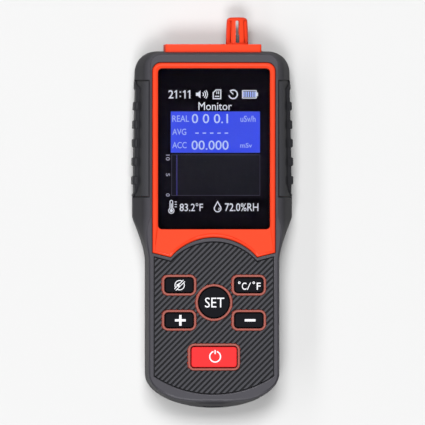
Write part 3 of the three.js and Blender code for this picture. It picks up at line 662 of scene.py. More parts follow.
def section(mark, width, low_z):
    """The front half's outer section at one spot of the loop, as (distance inwards, z)."""
    narrowed, turn = max(mark[0], 0), mark[1]
    break_z = mark_break(mark)
    lean = (break_z - SPLIT_Z) * DRAFT
    crest = mix(width, 1.1, narrowed)
    crest_z = mix(RIM_Z + 0.4, RIM_Z - 0.35, narrowed)
    groove_z = mix(RIM_Z + 0.1, RIM_Z - 0.85, narrowed)
    middle = (mix(lean, crest, SHOULDER["across"]), mix(break_z, crest_z, SHOULDER["up"]))
    if turn > CHAMFER_TURN:
        depth = mix(1.2, 3.1, smoothstep(CHAMFER_TURN, 1, turn))
        lean, break_z = 0, 20
        crest, crest_z = depth + 0.6, RIM_Z
        middle = (depth, RIM_Z - 0.75)
        groove_z = RIM_Z - 0.12
    elif turn > 0:
        share = smoothstep(0.2, CHAMFER_TURN, turn)
        crest = mix(crest, 1.8, share)
        crest_z = mix(crest_z, RIM_Z, share)
        groove_z = mix(groove_z, RIM_Z - 0.12, share)
    top = [(crest, crest_z), (crest + 0.22, groove_z), (crest + 0.6, RIM_Z)]
    corners = [(0, low_z), (lean, break_z), middle, *top]
    return rounded_line(corners, [0.8, mix(2.2, 0.5, narrowed), 0.3, 0.12])


def front_rings(skin, low_z, inset=0):
    """Rings of the front half's outer surface, from its lower edge to the flat round its openings."""
    outer = outer_loop(inset)
    rim = rim_loop(inset)
    widths = [math.dist(a, b) for a, b in zip(outer, rim)]
    sections = [section(mark, width, low_z) for mark, width in zip(LOOP_MARKS, widths)]
    rings = []
    for level in range(len(sections[0])):
        outline = []
        heights = []
        for a, b, width, points in zip(outer, rim, widths, sections):
            across, z = points[level]
            share = across / width
            outline.append((mix(a[0], b[0], share), mix(a[1], b[1], share)))
            heights.append(z - inset)
        rings.append(skin.ring(outline, heights))
    return rings


def arch(tip_x, tip_y, apex_y, steps=28):
    """An arched edge from the right tip over the apex to the left one."""
    rise = apex_y - tip_y
    radius = (tip_x * tip_x + rise * rise) / (2 * rise)
    spread = math.asin(tip_x / radius)
    turns = [spread * (1 - 2 * step / steps) for step in range(steps + 1)]
    return [(radius * math.sin(turn), apex_y - radius + radius * math.cos(turn)) for turn in turns]


def bezel_outline():
    """Anticlockwise, from the left side corner round the arch, and up the right side."""
    half, radius = BEZEL["half"], BEZEL["corner_r"]
    points = [(-half, BEZEL["side_y"])]
    points += arch(BEZEL["tip_x"], BEZEL["tip_y"], BEZEL["apex_y"])[::-1]
    points.append((half, BEZEL["side_y"]))
    points += [(half, y) for y in (-17, -13, -9, -5)]
    for middle_x, start in ((half - radius, 0), (radius - half, 90)):
        points += arc(radius, middle_x, BEZEL["top_y"] - radius, start, 90, 12)
    points += [(-half, y) for y in (-5, -9, -13, -17)]
    return points


def panel_outline():
    half = PANEL["half"]
    sag = PANEL["corner_y"] - PANEL["end_y"]
    radius = (half * half + sag * sag) / (2 * sag)
    spread = math.asin(half / radius)
    points = [(-half, PANEL["corner_y"])]
    for step in range(1, 24):
        turn = spread * (step / 12 - 1)
        points.append((radius * math.sin(turn), PANEL["end_y"] + radius * (1 - math.cos(turn))))
    points += [(half, PANEL["corner_y"]), (half, PANEL["side_y"])]
    points += arch(PANEL["tip_x"], PANEL["tip_y"], PANEL["apex_y"])
    points.append((-half, PANEL["side_y"]))
    return points


def key_outline(key, grow=0):
    width, height = key["width"] + 2 * grow, key["height"] + 2 * grow
    return rounded_rect(width, height, key["radius"] + grow, key["x"], key["y"], steps=12)


# ---- Casing ----


def top_notch():
    low = (-CAP["half"] - SLIT, CAP["flange_y"], CAP["low_z"] - SLIT)
    return block(low, (CAP["half"] + SLIT, TOP_Y + 3, CAP["high_z"] + SLIT))


def usb_notch():
    half = USB["width"] / 2 + 0.5
    height = USB["height"] / 2 + 0.3
    return block((-half, -LENGTH / 2 - 1, USB["z"] - height), (half, -86.8, USB["z"] + height))


def grip_room(side, grow=0.04):
    xs = sorted((side * (GRIP["inner_x"] - grow), side * (HEAD_HALF + 3)))
    low = (xs[0], GRIP["low_y"] - grow, GRIP["low_z"] - grow)
    return block(low, (xs[1], GRIP["high_y"] + grow, GRIP["high_z"] + 0.6))


def remainder(skin, tool):
    """What is left of one skin when another is cut from it."""
    piece = carve(skin.piece("remainder", "hard_grey"), [tool])
    rest = Skin()
    rest.points = [tuple(c / MM for c in vertex.co) for vertex in piece.data.vertices]
    rest.faces = [tuple(polygon.vertices) for polygon in piece.data.polygons]
    bpy.data.objects.remove(piece)
    return rest


def seam(side):
    """A shallow step round the grip's notch, which makes the joint show."""
    bulk = Skin()
    bulk.close(front_rings(bulk, SPLIT_Z - 1, SEAM["depth"]))
    return remainder(grip_room(side, SEAM["width"]), bulk)


def build_front_cover():
    skin = Skin()
    outer = front_rings(skin, FRONT_LOW_Z)
    skin.walls(outer)
    openings = [(offset(bezel_outline(), SLIT), 0.3), (offset(panel_outline(), PANEL_SLIT), 0.5)]
    under_z = RIM_Z - COVER_WALL
    tops, bottoms = [], []
    for opening, rounding in openings:
        rings = skin.loft(opening, edge_profile(under_z, RIM_Z, rounding, 3), 1)
        skin.bore(rings)
        tops.append(rings[-1])
        bottoms.append(rings[0])
    skin.face(outer[-1], tops)
    inner_breaks = [mark_break(mark) - 0.7 for mark in LOOP_MARKS]
    inside = [
        skin.ring(outer_loop(COVER_WALL), FRONT_LOW_Z),
        skin.ring(outer_loop(COVER_WALL), inner_breaks),
        skin.ring(rim_loop(COVER_WALL / 2), under_z),
    ]
    skin.bore(inside)
    skin.cap(inside[-1], bottoms, up=False)
    skin.wall(inside[0], outer[0])
    cover = skin.piece("cover_front", "soft_grey")
    carve(cover, [grip_room(-1), grip_room(1), seam(-1), seam(1), top_notch(), usb_notch()])
    settle(cover, "casing", "soft_grey", "front_cover")


def rear_rings(skin, inset, low_z, high_z):
    """Rings of the rear half from the split down to its rounded back edge."""
    rings = [skin.ring(outer_loop(inset), high_z)]
    for step in range(9):
        angle = math.radians(90 * step / 8)
        z = mix(BACK_EDGE["z"], low_z, math.sin(angle))
        rings.append(skin.ring(outer_loop(inset + BACK_EDGE["inset"] * (1 - math.cos(angle))), z))
    return rings


def rear_bulk(inset, low_z, high_z):
    skin = Skin()
    return skin.close(rear_rings(skin, inset, low_z, high_z)[::-1])


def drum(x, y, radius, low_z, high_z, steps=32):
    return slab(Skin(), circle(radius, x, y, steps), low_z, high_z)


def build_rear_cover():
    skin = Skin()
    outer = rear_rings(skin, 0, 0, SPLIT_Z)
    skin.walls(outer[::-1])
    skin.cap(outer[-1], up=False)
    inner = rear_rings(skin, REAR_WALL, REAR_FLOOR_Z, SPLIT_Z)
    skin.walls(inner)
    skin.cap(inner[-1])
    skin.wall(outer[0], inner[0])
    cover = skin.piece("cover_rear", "hard_grey")
    carve(cover, [drum(x, y, BOSS["radius"], 0.6, SPLIT_Z - 0.9) for x, y in CASE_SCREWS], "UNION")
    tools = [drum(x, y, BOSS["head_r"], -1, BOSS["head_z"]) for x, y in CASE_SCREWS]
    tools += [drum(x, y, BOSS["shank_r"], BOSS["head_z"] - 1, SPLIT_Z) for x, y in CASE_SCREWS]
    for index in range(WINDOW_SLOT["count"]):
        middle = WINDOW_SLOT["first_y"] + index * WINDOW_SLOT["pitch"]
        height = WINDOW_SLOT["height"]
        slot = rounded_rect(WINDOW_SLOT["width"], height, height / 2, WINDOW_SLOT["x"], middle, 5)
        tools.append(plate(Skin(), slot, [(-0.5, -0.1), (0, 0.4), (0, REAR_FLOOR_Z + 1)]))
    for index in (-1, 0, 1):
        x = SOUND_HOLE["x"] + index * SOUND_HOLE["pitch"]
        tools.append(drum(x, SOUND_HOLE["y"], SOUND_HOLE["radius"], -1, REAR_FLOOR_Z + 1, 20))
    tools += [remainder(grip_room(side), rear_bulk(2, 0, SPLIT_Z + 1)) for side in (-1, 1)]
    tools.append(top_notch())
    carve(cover, tools)
    settle(cover, "casing", "hard_grey", "rear_cover")


def build_shell():
    """The orange inner shell: its hidden walls and plate."""
    skin = Skin()
    plate_z = RIM_Z - SHELL_INSET
    under_z = RIM_Z - SHELL_INNER_INSET
    breaks = [mark_break(mark) for mark in LOOP_MARKS]
    sides = []
    for inset, top_z in ((SHELL_INSET, plate_z), (SHELL_INNER_INSET, under_z)):
        low = skin.ring(outer_loop(inset), SPLIT_Z + 1)
        bend = skin.ring(outer_loop(inset), [z - inset / 3 for z in breaks])
        sides.append([low, bend, skin.ring(rim_loop(inset / 2), top_z)])
    outer, inner = sides
    openings = [rounded_rect(WINDOW["width"], WINDOW["height"], 0.8, 0, WINDOW["y"])]
    openings += [key_outline(key) for key in KEYS.values()]
    tops = [skin.ring(opening, plate_z) for opening in openings]
    bottoms = [skin.ring(opening, under_z) for opening in openings]
    for top, bottom in zip(tops, bottoms):
        skin.bore([bottom, top])
    skin.walls(outer)
    skin.cap(outer[-1], tops)
    skin.bore(inner)
    skin.cap(inner[-1], bottoms, up=False)
    skin.wall(inner[0], outer[0])
    shell = skin.piece("shell_tray", "orange_plastic")
    carve(shell, [top_notch(), usb_notch()])
    settle(shell, "casing", "orange_plastic", "front_shell")


def build_bezel():
    skin = Skin()
    outline = bezel_outline()
    raised = [y > BEZEL["side_y"] - 0.05 for x, y in outline]
    flat_z = LENS_Z - 0.35
    low_z = RIM_Z - SHELL_INSET
    crest = 1.15
    ends = [mix(crest + 0.15, 2.55, smoothstep(-17.5, -8.5, y)) for x, y in outline]
    steps = [
        (0, low_z, low_z),
        (0, 32.2, flat_z - 0.45),
        (0.12, 32.65, flat_z - 0.2),
        (0.4, 33.05, flat_z - 0.05),
        (0.8, 33.3, flat_z),
        (crest, BEZEL_Z, flat_z),
    ]
    rings = []
    for inset, ridge_z, plain_z in steps:
        heights = [mix(plain_z, ridge_z, up) for up in raised]
        rings.append(skin.ring(offset(outline, -inset), heights))
    for share, drop in ((0.25, 0.04), (0.6, 0.3), (1, 0.75)):
        insets = [-mix(crest, end, share) for end in ends]
        heights = [mix(flat_z, BEZEL_Z - drop, up) for up in raised]
        rings.append(skin.ring(offset(outline, insets), heights))
    skin.walls(rings)
    seat = rounded_rect(LENS["width"] + 0.24, LENS["height"] + 0.24, LENS["radius"], 0, LENS["y"])
    seat_rings = skin.loft(seat, [(0, LENS_SEAT_Z), (0, flat_z - 0.15), (0.1, flat_z)], 1)
    skin.bore(seat_rings)
    skin.face(rings[-1], [seat_rings[-1]])
    skin.cap(rings[0], [seat_rings[0]], up=False)
    bezel = skin.piece("bezel", "orange_plastic", sharp=28)
    settle(bezel, "casing", "orange_plastic")


def build_collars():
    skin = Skin()
    turns = [math.radians(180 * step / 8) for step in range(9)]
    half = COLLAR_WALL / 2
    lip = [(half * (1 - math.cos(turn)), COLLAR_Z - half * (1 - math.sin(turn))) for turn in turns]
    for key in KEYS.values():
        profile = [(0, COLLAR_LOW_Z), *lip, (COLLAR_WALL, COLLAR_INNER_Z)]
        rings = skin.loft(key_outline(key, COLLAR_WALL), profile)
        skin.walls(rings)
        skin.wall(rings[-1], rings[0])
    # Painted shade: the collars take a darker, greyer copy of the shell's orange.
    collars = skin.piece("key_collars", "shaded_collar_orange")
    settle(collars, "casing", "orange_plastic")


# ---- Keypad ----


def build_panel():
    """The ribbed panel: a slab of slanting ribs, trimmed to the panel's outline and holes."""
    ribbed = Skin()
    top = PANEL_Z
    floor = PANEL_Z - RIB["depth"]
    pitch, lip, reach = RIB["pitch"], RIB["lip"], RIB["reach"]
    half_groove = RIB["groove"] / 2
    line = []
    count = int(reach / pitch)
    for index in range(-count, count + 1):
        middle = index * pitch
        line += [
            (middle - half_groove * 0.45, floor),
            (middle + half_groove * 0.45, floor),
            (middle + half_groove, top - 0.1),
            (middle + half_groove + lip, top),
            (middle + pitch - half_groove - lip, top),
            (middle + pitch - half_groove, top - 0.1),
        ]
    under_z = PANEL_LOW_Z - 0.5
    line = [(line[0][0], under_z), *line, (line[-1][0], under_z)]
    ends = []
    slant = math.sqrt(2)
    for along in (-reach, reach):
        xs = [(along - across) / slant for across, z in line]
        ys = [(along + across) / slant + RIB["middle_y"] for across, z in line]
        ends.append(ribbed.ring(list(zip(xs, ys)), [z for across, z in line]))
    ribbed.wall(ends[1], ends[0])
    ribbed.faces.append(tuple(ends[0]))
    ribbed.faces.append(tuple(ends[1][::-1]))
    holes = [key_outline(key, COLLAR_WALL + 0.2) for key in KEYS.values()]
    body = slab(Skin(), panel_outline(), PANEL_LOW_Z, PANEL_Z + 1, holes)
    panel = ribbed.piece("ribbed_panel", "panel_grey")
    carve(panel, [body], "INTERSECT")
    settle(panel, "casing", "panel_grey", "keypad_panel")


def build_panel_flange():
    """The thin ledge under the panel's edge, which closes the groove round it."""
    flange = Skin()
    wide, narrow = (offset(panel_outline(), move) for move in (0.9, -0.9))
    slab(flange, wide, PANEL_LOW_Z, PANEL_LOW_Z + 0.15, [narrow])
    settle(flange.piece("panel_flange", "panel_grey"), "casing", "panel_grey")


def build_key(name, key):
    body = f"key_{name}_body"
    color = "key_red" if name == "power" else "key_black"
    skin = Skin()
    top_z = KEY_Z - 0.06
    cap = [(KEY_GAP, FLANGE_Z + 1)]
    cap += [(KEY_GAP + inset, z) for inset, z in edge_profile(COLLAR_INNER_Z, top_z, KEY_EDGE_R, 5)[1:]]
    flange = [(-KEY_FLANGE, FLANGE_Z), (-KEY_FLANGE, FLANGE_Z + 1)]
    plate(skin, key_outline(key), [*flange, *cap])
    top = skin.piece(f"keytop_{name}", color)
    settle(top, body, color, f"key_{name}")
    web = Skin()
    outline = key_outline(key, KEY_FLANGE)
    seat_z = FLANGE_Z - 0.05
    rings = [(0, WEB_LOW_Z), (0.25, WEB_WAIST_Z), (0, seat_z), (WEB_WALL, seat_z)]
    rings += [(WEB_WALL + 0.2, WEB_WAIST_Z), (WEB_WALL, WEB_LOW_Z)]
    loops = web.loft(outline, rings)
    web.walls(loops)
    web.wall(loops[-1], loops[0])
    wall = web.piece(f"web_{name}", "silicone")
    settle(wall, "casing", "silicone", f"key_web_{name}")
    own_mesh(wall)


# ---- Lettering and signs ----

SIGN_HEIGHT = 0.03


def letters(skin, text, x, y, width, height, z, bold=0):
    """Text set so that it is width by height about its middle, as thin raised faces on a skin."""
    curve = bpy.data.curves.new("text", "FONT")
    curve.body = text
    curve.extrude = 0.01
    curve.offset = bold
    curve.resolution_u = 3
    item = bpy.data.objects.new("text", curve)
    bpy.context.scene.collection.objects.link(item)
    view = bpy.context.evaluated_depsgraph_get()
    mesh = bpy.data.meshes.new_from_object(item.evaluated_get(view))
    xs = [vertex.co.x for vertex in mesh.vertices]
    ys = [vertex.co.y for vertex in mesh.vertices]
    middle = ((min(xs) + max(xs)) / 2, (min(ys) + max(ys)) / 2)
    scale_x = width / (max(xs) - min(xs))
    scale_y = height / (max(ys) - min(ys))
    points = []
    for vertex in mesh.vertices:
        across = (vertex.co.x - middle[0]) * scale_x
        along = (vertex.co.y - middle[1]) * scale_y
        points.append((x + across, y + along, z + (SIGN_HEIGHT if vertex.co.z > 0 else 0)))
    skin.add(points, [polygon.vertices for polygon in mesh.polygons])
    bpy.data.objects.remove(item)
    bpy.data.meshes.remove(mesh)


def sign(skin, outline, z, holes=()):
    """A thin raised flat shape."""
    slab(skin, outline, z, z + SIGN_HEIGHT, holes)


def bar(skin, x, y, width, height, z, turn=0):
    angle = math.radians(turn)
    cosine, sine = math.cos(angle), math.sin(angle)
    half_x, half_y = width / 2, height / 2
    corners = [(-half_x, -half_y), (half_x, -half_y), (half_x, half_y), (-half_x, half_y)]
    sign(skin, [(x + u * cosine - v * sine, y + u * sine + v * cosine) for u, v in corners], z)


def frame_sign(skin, x, y, width, height, stroke, z):
    outer = rounded_rect(width, height, 0.3, x, y, 3)
    sign(skin, outer, z, [rounded_rect(width - 2 * stroke, height - 2 * stroke, 0.15, x, y, 3)])


def arc_sign(skin, x, y, radius, stroke, start, sweep, z, steps=20):
    """Part of a ring, from a start angle through a sweep, in degrees."""
    outer, inner = (arc(reach, x, y, start, sweep, steps) for reach in (radius, radius - stroke))
    ring = [*outer, *inner[::-1]]
    sign(skin, ring if sweep > 0 else ring[::-1], z)


def speaker_sign(skin, x, y, size, z):
    body = [(-0.5, -0.2), (-0.25, -0.2), (0.08, -0.5), (0.08, 0.5), (-0.25, 0.2), (-0.5, 0.2)]
    sign(skin, [(x + u * size, y + v * size) for u, v in body], z)


def build_legends():
    z = KEY_Z - 0.055
    for name, key in KEYS.items():
        skin = Skin()
        x, y = key["x"], key["y"]
        if name == "set":
            letters(skin, "SET", x + 0.2, y, 9.5, 4.9, z)
        elif name == "unit":
            add_unit_sign(skin, x, y, z)
        elif name in ("plus", "minus"):
            bar(skin, x + 0.5, y, 5.3, 1.15, z)
            if name == "plus":
                bar(skin, x + 0.5, y + 1.6, 1.15, 2.05, z)
                bar(skin, x + 0.5, y - 1.6, 1.15, 2.05, z)
        elif name == "mute":
            add_mute_sign(skin, x + 0.15, y, z)
        else:
            arc_sign(skin, x + 0.45, y + 0.2, 2.95, 0.62, 108, 324, z, 40)
            bar(skin, x + 0.45, y + 2.45, 0.6, 2, z)
        legend = skin.piece(f"legend_{name}", "legend")
        settle(legend, f"key_{name}_body", "key_black" if name != "power" else "key_red")


def add_unit_sign(skin, x, y, z):
    """Degrees Celsius or Fahrenheit."""
    letters(skin, "C", x - 2.4, y - 0.5, 2.3, 3.6, z, bold=0.01)
    letters(skin, "F", x + 4.7, y - 0.5, 1.9, 3.5, z, bold=0.01)
    bar(skin, x - 0.1, y - 0.5, 0.42, 3.9, z, -24)
    for degree_x in (x - 4.8, x + 2.3):
        arc_sign(skin, degree_x, y + 1.2, 0.62, 0.36, 0, 359, z, 16)


def add_mute_sign(skin, x, y, z):
    """A loudspeaker in a broken ring, struck through twice."""
    arc_sign(skin, x, y, 2.5, 0.4, 62, 146, z)
    arc_sign(skin, x, y, 2.5, 0.4, 242, 146, z)
    speaker_sign(skin, x - 0.3, y, 2.4, z)
    for shift in (-0.35, 0.35):
        bar(skin, x + shift, y - shift, 6.3, 0.36, z + 0.004, 45)


# ---- Display ----

GLASS_Z = 31.3
OVER_PANE_Z = GLASS_Z + 0.035
STATUS_Y = 57.9
CLIMATE_Y = 2.6


def build_lens():
    skin = Skin()
    outline = rounded_rect(LENS["width"], LENS["height"], LENS["radius"], 0, LENS["y"])
    plate(skin, outline, edge_profile(LENS_Z - LENS["thickness"], LENS_Z, 0.04, 1))
    lens = skin.piece("lens_pane", "lens_glass")
    settle(lens, "casing", "lens", "display_lens")
    mask = Skin()
    border = offset(outline, -0.1)
    hole = rounded_rect(WINDOW["width"] - 1, WINDOW["height"] - 1, 0.6, 0, WINDOW["y"])
    low_z = LENS_Z - LENS["thickness"] - 0.05
    slab(mask, border, low_z, low_z + 0.04, [hole])
    gasket = rounded_rect(LENS["width"] + 0.2, LENS["height"] + 0.2, LENS["radius"], 0, LENS["y"])
    slab(mask, gasket, low_z + 0.05, LENS_Z - 0.05, [offset(outline, 0.02)])
    settle(mask.piece("lens_mask", "mask_black"), "casing", "lens")


def build_panel_glass():
    """The display itself, which stands up into the shell's window."""
    skin = Skin()
    foot = rounded_rect(LCD["width"], LCD["height"], 0.3, 0, LCD["y"], 2)
    slab(skin, foot, LCD["low_z"], LCD["step_z"])
    raised = rounded_rect(WINDOW["width"] - 0.4, WINDOW["height"] - 0.4, 0.5, 0, WINDOW["y"], 3)
    slab(skin, raised, LCD["step_z"] + 0.05, GLASS_Z)
    settle(skin.piece("lcd_glass", "display"), "casing", "display", "lcd_panel")


def show(skin, name, finish):
    settle(skin.piece(f"lit_{name}", finish), "casing", "display")


def build_panes():
    """The blue ground of the doses and the dark one of the graph."""
    panes = [("panel", "blue", 43.8, 0.7, 39.4), ("chart", "graph", 43.6, 0.8, 18.3)]
    for name, finish, width, x, y in panes:
        pane = Skin()
        sign(pane, rounded_rect(width, 20.2, 0.1, x, y, 2), GLASS_Z)
        show(pane, name, finish)


def build_doses():
    labels = Skin()
    for text, y, width in (("REAL", 46, 8.2), ("AVG", 39.5, 6.8), ("ACC", 33, 7)):
        letters(labels, text, width / 2 - 20.4, y, width, 3.1, OVER_PANE_Z, bold=0.006)
    letters(labels, "uSv/h", 16.7, 45.9, 7.4, 3, OVER_PANE_Z, bold=0.006)
    letters(labels, "mSv", 15.8, 32.9, 5.8, 2.3, OVER_PANE_Z, bold=0.006)
    show(labels, "labels", "dim")
    digits = Skin()
    letters(digits, "0 0 0.1", -2, 46, 17.8, 4.6, OVER_PANE_Z, bold=0.006)
    for index in range(5):
        bar(digits, -8.3 + index * 3.6, 38.9, 1.7, 0.55, OVER_PANE_Z)
    letters(digits, "00.000", -1.9, 33, 18.2, 4.6, OVER_PANE_Z, bold=0.006)
    show(digits, "digits", "pale")


def build_status():
    """The clock, signs and title above the doses, and the climate readings below the graph."""
    white = Skin()
    add_clock(white, GLASS_Z)
    letters(white, "Monitor", 0.6, 52.1, 16.4, 3.9, GLASS_Z)
    letters(white, "83.2°F", -11.1, CLIMATE_Y, 11.4, 3.9, GLASS_Z, bold=0.004)
    letters(white, "72.0%RH", 13.6, CLIMATE_Y, 16.4, 3.9, GLASS_Z, bold=0.004)
    add_status_signs(white, GLASS_Z)
    add_climate_signs(white, GLASS_Z)
    show(white, "white", "white")
    cells = Skin()
    for index in range(6):
        bar(cells, 14.7 + index * 1.1, STATUS_Y, 0.75, 2.7, GLASS_Z)
    show(cells, "cells", "dim")


def build_graph():
    border = Skin()
    frame_sign(border, 0.9, 18.3, 43.6, 20.2, 0.3, OVER_PANE_Z)
    show(border, "border", "line")
    axis = Skin()
    bar(axis, -18.2, 18.3, 0.5, 20.2, OVER_PANE_Z)
    show(axis, "axis", "violet")
    scale = Skin()
    for text, y in (("10", 26.9), ("5", 18.5), ("0", 8.6)):
        turned = Skin()
        letters(turned, text, 0, 0, 1.4 * len(text), 1.9, OVER_PANE_Z)
        turned.turned(lambda u, v, z: (-22.6 + v, y - u, z))
        scale.add(turned.points, turned.faces)
    show(scale, "scale", "grey")


def add_clock(skin, z):
    """Twenty-one eleven, with flagged ones."""
    letters(skin, "2", -21.1, STATUS_Y, 2.5, 4.1, z, bold=0.01)
    for x in (-18.4, -14.2, -11.9):
        bar(skin, x, STATUS_Y, 0.6, 4.1, z)
        bar(skin, x - 0.5, STATUS_Y + 1.4, 1.2, 0.5, z, 40)
    for shift in (-1, 1.1):
        bar(skin, -16.5, STATUS_Y + shift, 0.7, 0.7, z)


def add_status_signs(skin, z):
    """Loudspeaker, memory card, timer and battery."""
    y = STATUS_Y
    speaker_sign(skin, -6.9, y, 3.8, z)
    for radius, half_sweep in ((1.3, 50), (2.3, 48), (3.2, 42)):
        arc_sign(skin, -6.2, y, radius, 0.42, -half_sweep, 2 * half_sweep, z)
    card = [(-0.6, 2.4), (2.1, 2.4), (2.1, -2.4), (-2.1, -2.4), (-2.1, 0.9)]
    outline = [(1.5 + u, y + v) for u, v in card[::-1]]
    sign(skin, outline, z, [offset(outline, -0.5)])
    bar(skin, 1.5, y - 1, 2.2, 0.5, z)
    for shift in (-0.1, 0.8):
        bar(skin, 1.5 + shift, y + 0.8, 0.4, 1.3, z)
    arc_sign(skin, 9.4, y, 2.4, 0.62, 135, -300, z, 30)
    bar(skin, 8.8, y + 0.7, 2, 0.5, z, -45)
    frame_sign(skin, 17.4, y, 7.2, 4.1, 0.45, z)
    bar(skin, 21.3, y, 0.6, 1.8, z)


def add_climate_signs(skin, z):
    arc_sign(skin, -20.9, 0.9, 1.5, 0.4, 115, 310, z, 24)
    for x in (-21.55, -20.25):
        bar(skin, x, 3.7, 0.4, 3.2, z)
    arc_sign(skin, -20.9, 5.3, 0.85, 0.4, 0, 180, z, 10)
    sign(skin, circle(0.75, -20.9, 0.9, 16), z)
    bar(skin, -20.9, 2.9, 0.4, 3, z)
    for y in (5.2, 4, 2.8):
        bar(skin, -18.7, y, 1, 0.35, z)
    x, y = 1.8, 2
    drops = [[*arc(radius, x, y, -220, 260, 16), (x, tip_y)] for radius, tip_y in ((1.9, 5.8), (1.4, 4.9))]
    sign(skin, drops[0], z, [drops[1]])
    arc_sign(skin, x, y, 0.95, 0.35, -60, 90, z, 8)


# ---- Side grips ----


HEAD_SECTION = section((0, 0), HEAD_HALF - RIM["head_half"], SPLIT_Z)


def facet_z(x):
    """Height of the casing's front facet where the head is widest."""
    across = HEAD_HALF - x
    for (near, near_z), (far, far_z) in zip(HEAD_SECTION, HEAD_SECTION[1:]):
        if near <= across <= far and far > near:
            return mix(near_z, far_z, (across - near) / (far - near))
    return RIM_Z


def grip_stations():
    """Places along Y, each with how much of a rib and of an end land there is."""
    low, high = GRIP["low_y"], GRIP["high_y"]
    stations = [(low, 0, 1), (low + 0.7, 0, 1), (low + 1.4, 0, 0.2), (low + 2, 0, 0)]
    for index in range(GRIP_RIB["count"]):
        middle = GRIP_RIB["first_y"] + index * GRIP_RIB["pitch"]
        half = GRIP_RIB["width"] / 2
        for across, rib in ((-half - 0.25, 0), (-half, 0.75), (-half + 0.35, 1)):
            stations.append((middle + across, rib, 0))
        for across, rib in ((half - 0.35, 1), (half, 0.75), (half + 0.25, 0)):
            stations.append((middle + across, rib, 0))
    stations += [(high - 4.4, 0, 0), (high - 3.4, 0, 1), (high - 1.2, 0, 1), (high, 0, 1)]
    return stations


def grip_section(y, rib, land):
    """The grip's section at one station as (x, z), from its inner top edge round and back."""
    from_end = min(y - GRIP["low_y"], GRIP["high_y"] - y)
    outer_x, root_x, foot_z = GRIP["outer_x"], GRIP["root_x"], GRIP["low_z"] + 0.05
    crease = mix(outer_x, GRIP["crease_x"], smoothstep(0.4, 3.6, from_end))
    outer = outer_x + 0.6 * land + 0.88 * rib
    inner = GRIP["inner_x"] + 0.05
    points = [(inner, 29), (inner, facet_z(inner) - 0.5)]
    for step in range(9):
        x = mix(inner + 0.12, crease - 0.15, step / 8)
        points.append((x, facet_z(x) - 0.12))
    start_z = points[-1][1]
    shelf_z = min(GRIP["shelf_z"], start_z - 0.3)
    points.append((crease, start_z - 0.35))
    points.append((crease + 0.12, mix(start_z - 0.5, shelf_z + 0.65, 0.85)))
    for share in (0.15, 0.3, 0.85):
        x = mix(crease + 0.12, outer - 0.35, share)
        lift = rib * (0.55 if share > 0.2 else 0)
        points.append((x, shelf_z + 0.6 * (1 - share) + lift))
    points.append((outer - 0.12, shelf_z - 0.15 + 0.4 * rib))
    points.append((outer, shelf_z - 0.7 + 0.3 * rib))
    points.append((outer, mix(8, 7.2, rib)))
    points.append((outer - 0.35 * rib, 6.6))
    points.append((outer_x - 0.2 + 0.5 * land, foot_z + 0.55))
    points.append((outer_x - 0.6 + 0.5 * land, foot_z))
    points += [(root_x, foot_z), (root_x, 20.4)]
    reach = HEAD_HALF - RIM["head_half"]
    squeeze = 1 - head_narrowing(y) / reach
    return [(RIM["head_half"] + (x - RIM["head_half"]) * squeeze, z) for x, z in points]


def build_grip(side, name):
    skin = Skin()
    loops = []
    for y, rib, land in grip_stations():
        loops.append(skin.add([(side * x, y, z) for x, z in grip_section(y, rib, land)]))
    if side > 0:
        loops = [loop[::-1] for loop in loops]
    skin.walls(loops)
    skin.faces.append(tuple(loops[0][::-1]))
    skin.faces.append(tuple(loops[-1]))
    grip = skin.piece(f"grip_{name}", "grip_rubber", sharp=38)
    settle(grip, "casing", "grip_rubber", f"side_grip_{name}")


# ---- Top end ----


def build_top_cap():
    """Drawn with its section in X and Z and its length along Y."""
    width = 2 * CAP["half"]
    height = CAP["high_z"] - CAP["low_z"]
    middle_z = (CAP["high_z"] + CAP["low_z"]) / 2
    outline = rounded_rect(width, height, 1.2, 0, 0, 6)
    skin = Skin()
    profile = [(-1, CAP["flange_y"]), (-1, CAP["flange_y"] + 1.3), (0, CAP["flange_y"] + 1.31)]
    profile += edge_profile(0, CAP["top_y"], 0.45, 4)[1:]
    plate(skin, outline, profile)
    skin.turned(lambda x, z, y: (x, y, middle_z - z))
    cap = skin.piece("cap_block", "orange_plastic")
    hole_outline = circle(PROBE["hole_r"], PROBE["x"], -PROBE["z"], 40)
    hole = slab(Skin(), hole_outline, CAP["top_y"] - 4, CAP["top_y"] + 1)
    hole.turned(lambda x, z, y: (x, y, -z))
    carve(cap, [hole])
    settle(cap, "casing", "orange_plastic", "top_cap")


def build_cage():
    """The probe's guard: a turned cup with slots right through between its ribs."""
    skin = Skin()
    top = LENGTH / 2
    foot = CAP["top_y"]
    outside = [(4.6, 79), (4.6, foot + 0.05), (5.4, foot + 0.05), (5.55, foot + 0.3)]
    outside += [(5.35, 90), (5.2, 93.4), (5.05, 94.3), (4.7, 95), (4.1, 95.45)]
    outside += [(3.3, top - 0.08), (1.5, top - 0.02)]
    inside = [(1.4, 94.3), (3.5, 94.1), (4.2, foot + 1), (3.6, 81), (3.6, 79)]
    rings = [skin.ring(circle(radius), y) for radius, y in outside]
    skin.walls(rings)
    skin.cap(rings[-1])
    inner = [skin.ring(circle(radius), y) for radius, y in inside]
    skin.cap(inner[0], up=False)
    skin.bore(inner[::-1])
    skin.wall(inner[-1], rings[0])
    skin.turned(lambda x, z, y: (x + PROBE["x"], y, PROBE["z"] - z))
    cage = skin.piece("probe_cage", "orange_plastic")
    slots = []
    outline = rounded_rect(PROBE_SLOT["width"], PROBE_SLOT["height"], 0.5, 0, PROBE_SLOT["y"], 4)
    for index in range(PROBE_SLOT["count"] // 2):
        angle = 2 * math.pi * index / PROBE_SLOT["count"]
        slots.append(slab(Skin(), outline, -8, 8).turned(spin(angle)))
    carve(cage, slots)
    settle(cage, "casing", "orange_plastic", "sensor_cage")


def spin(angle):
    """Turns points about the probe's axis and puts them in place."""
    cosine, sine = math.cos(angle), math.sin(angle)
    return lambda x, y, z: (PROBE["x"] + x * cosine + z * sine, y, PROBE["z"] - x * sine + z * cosine)


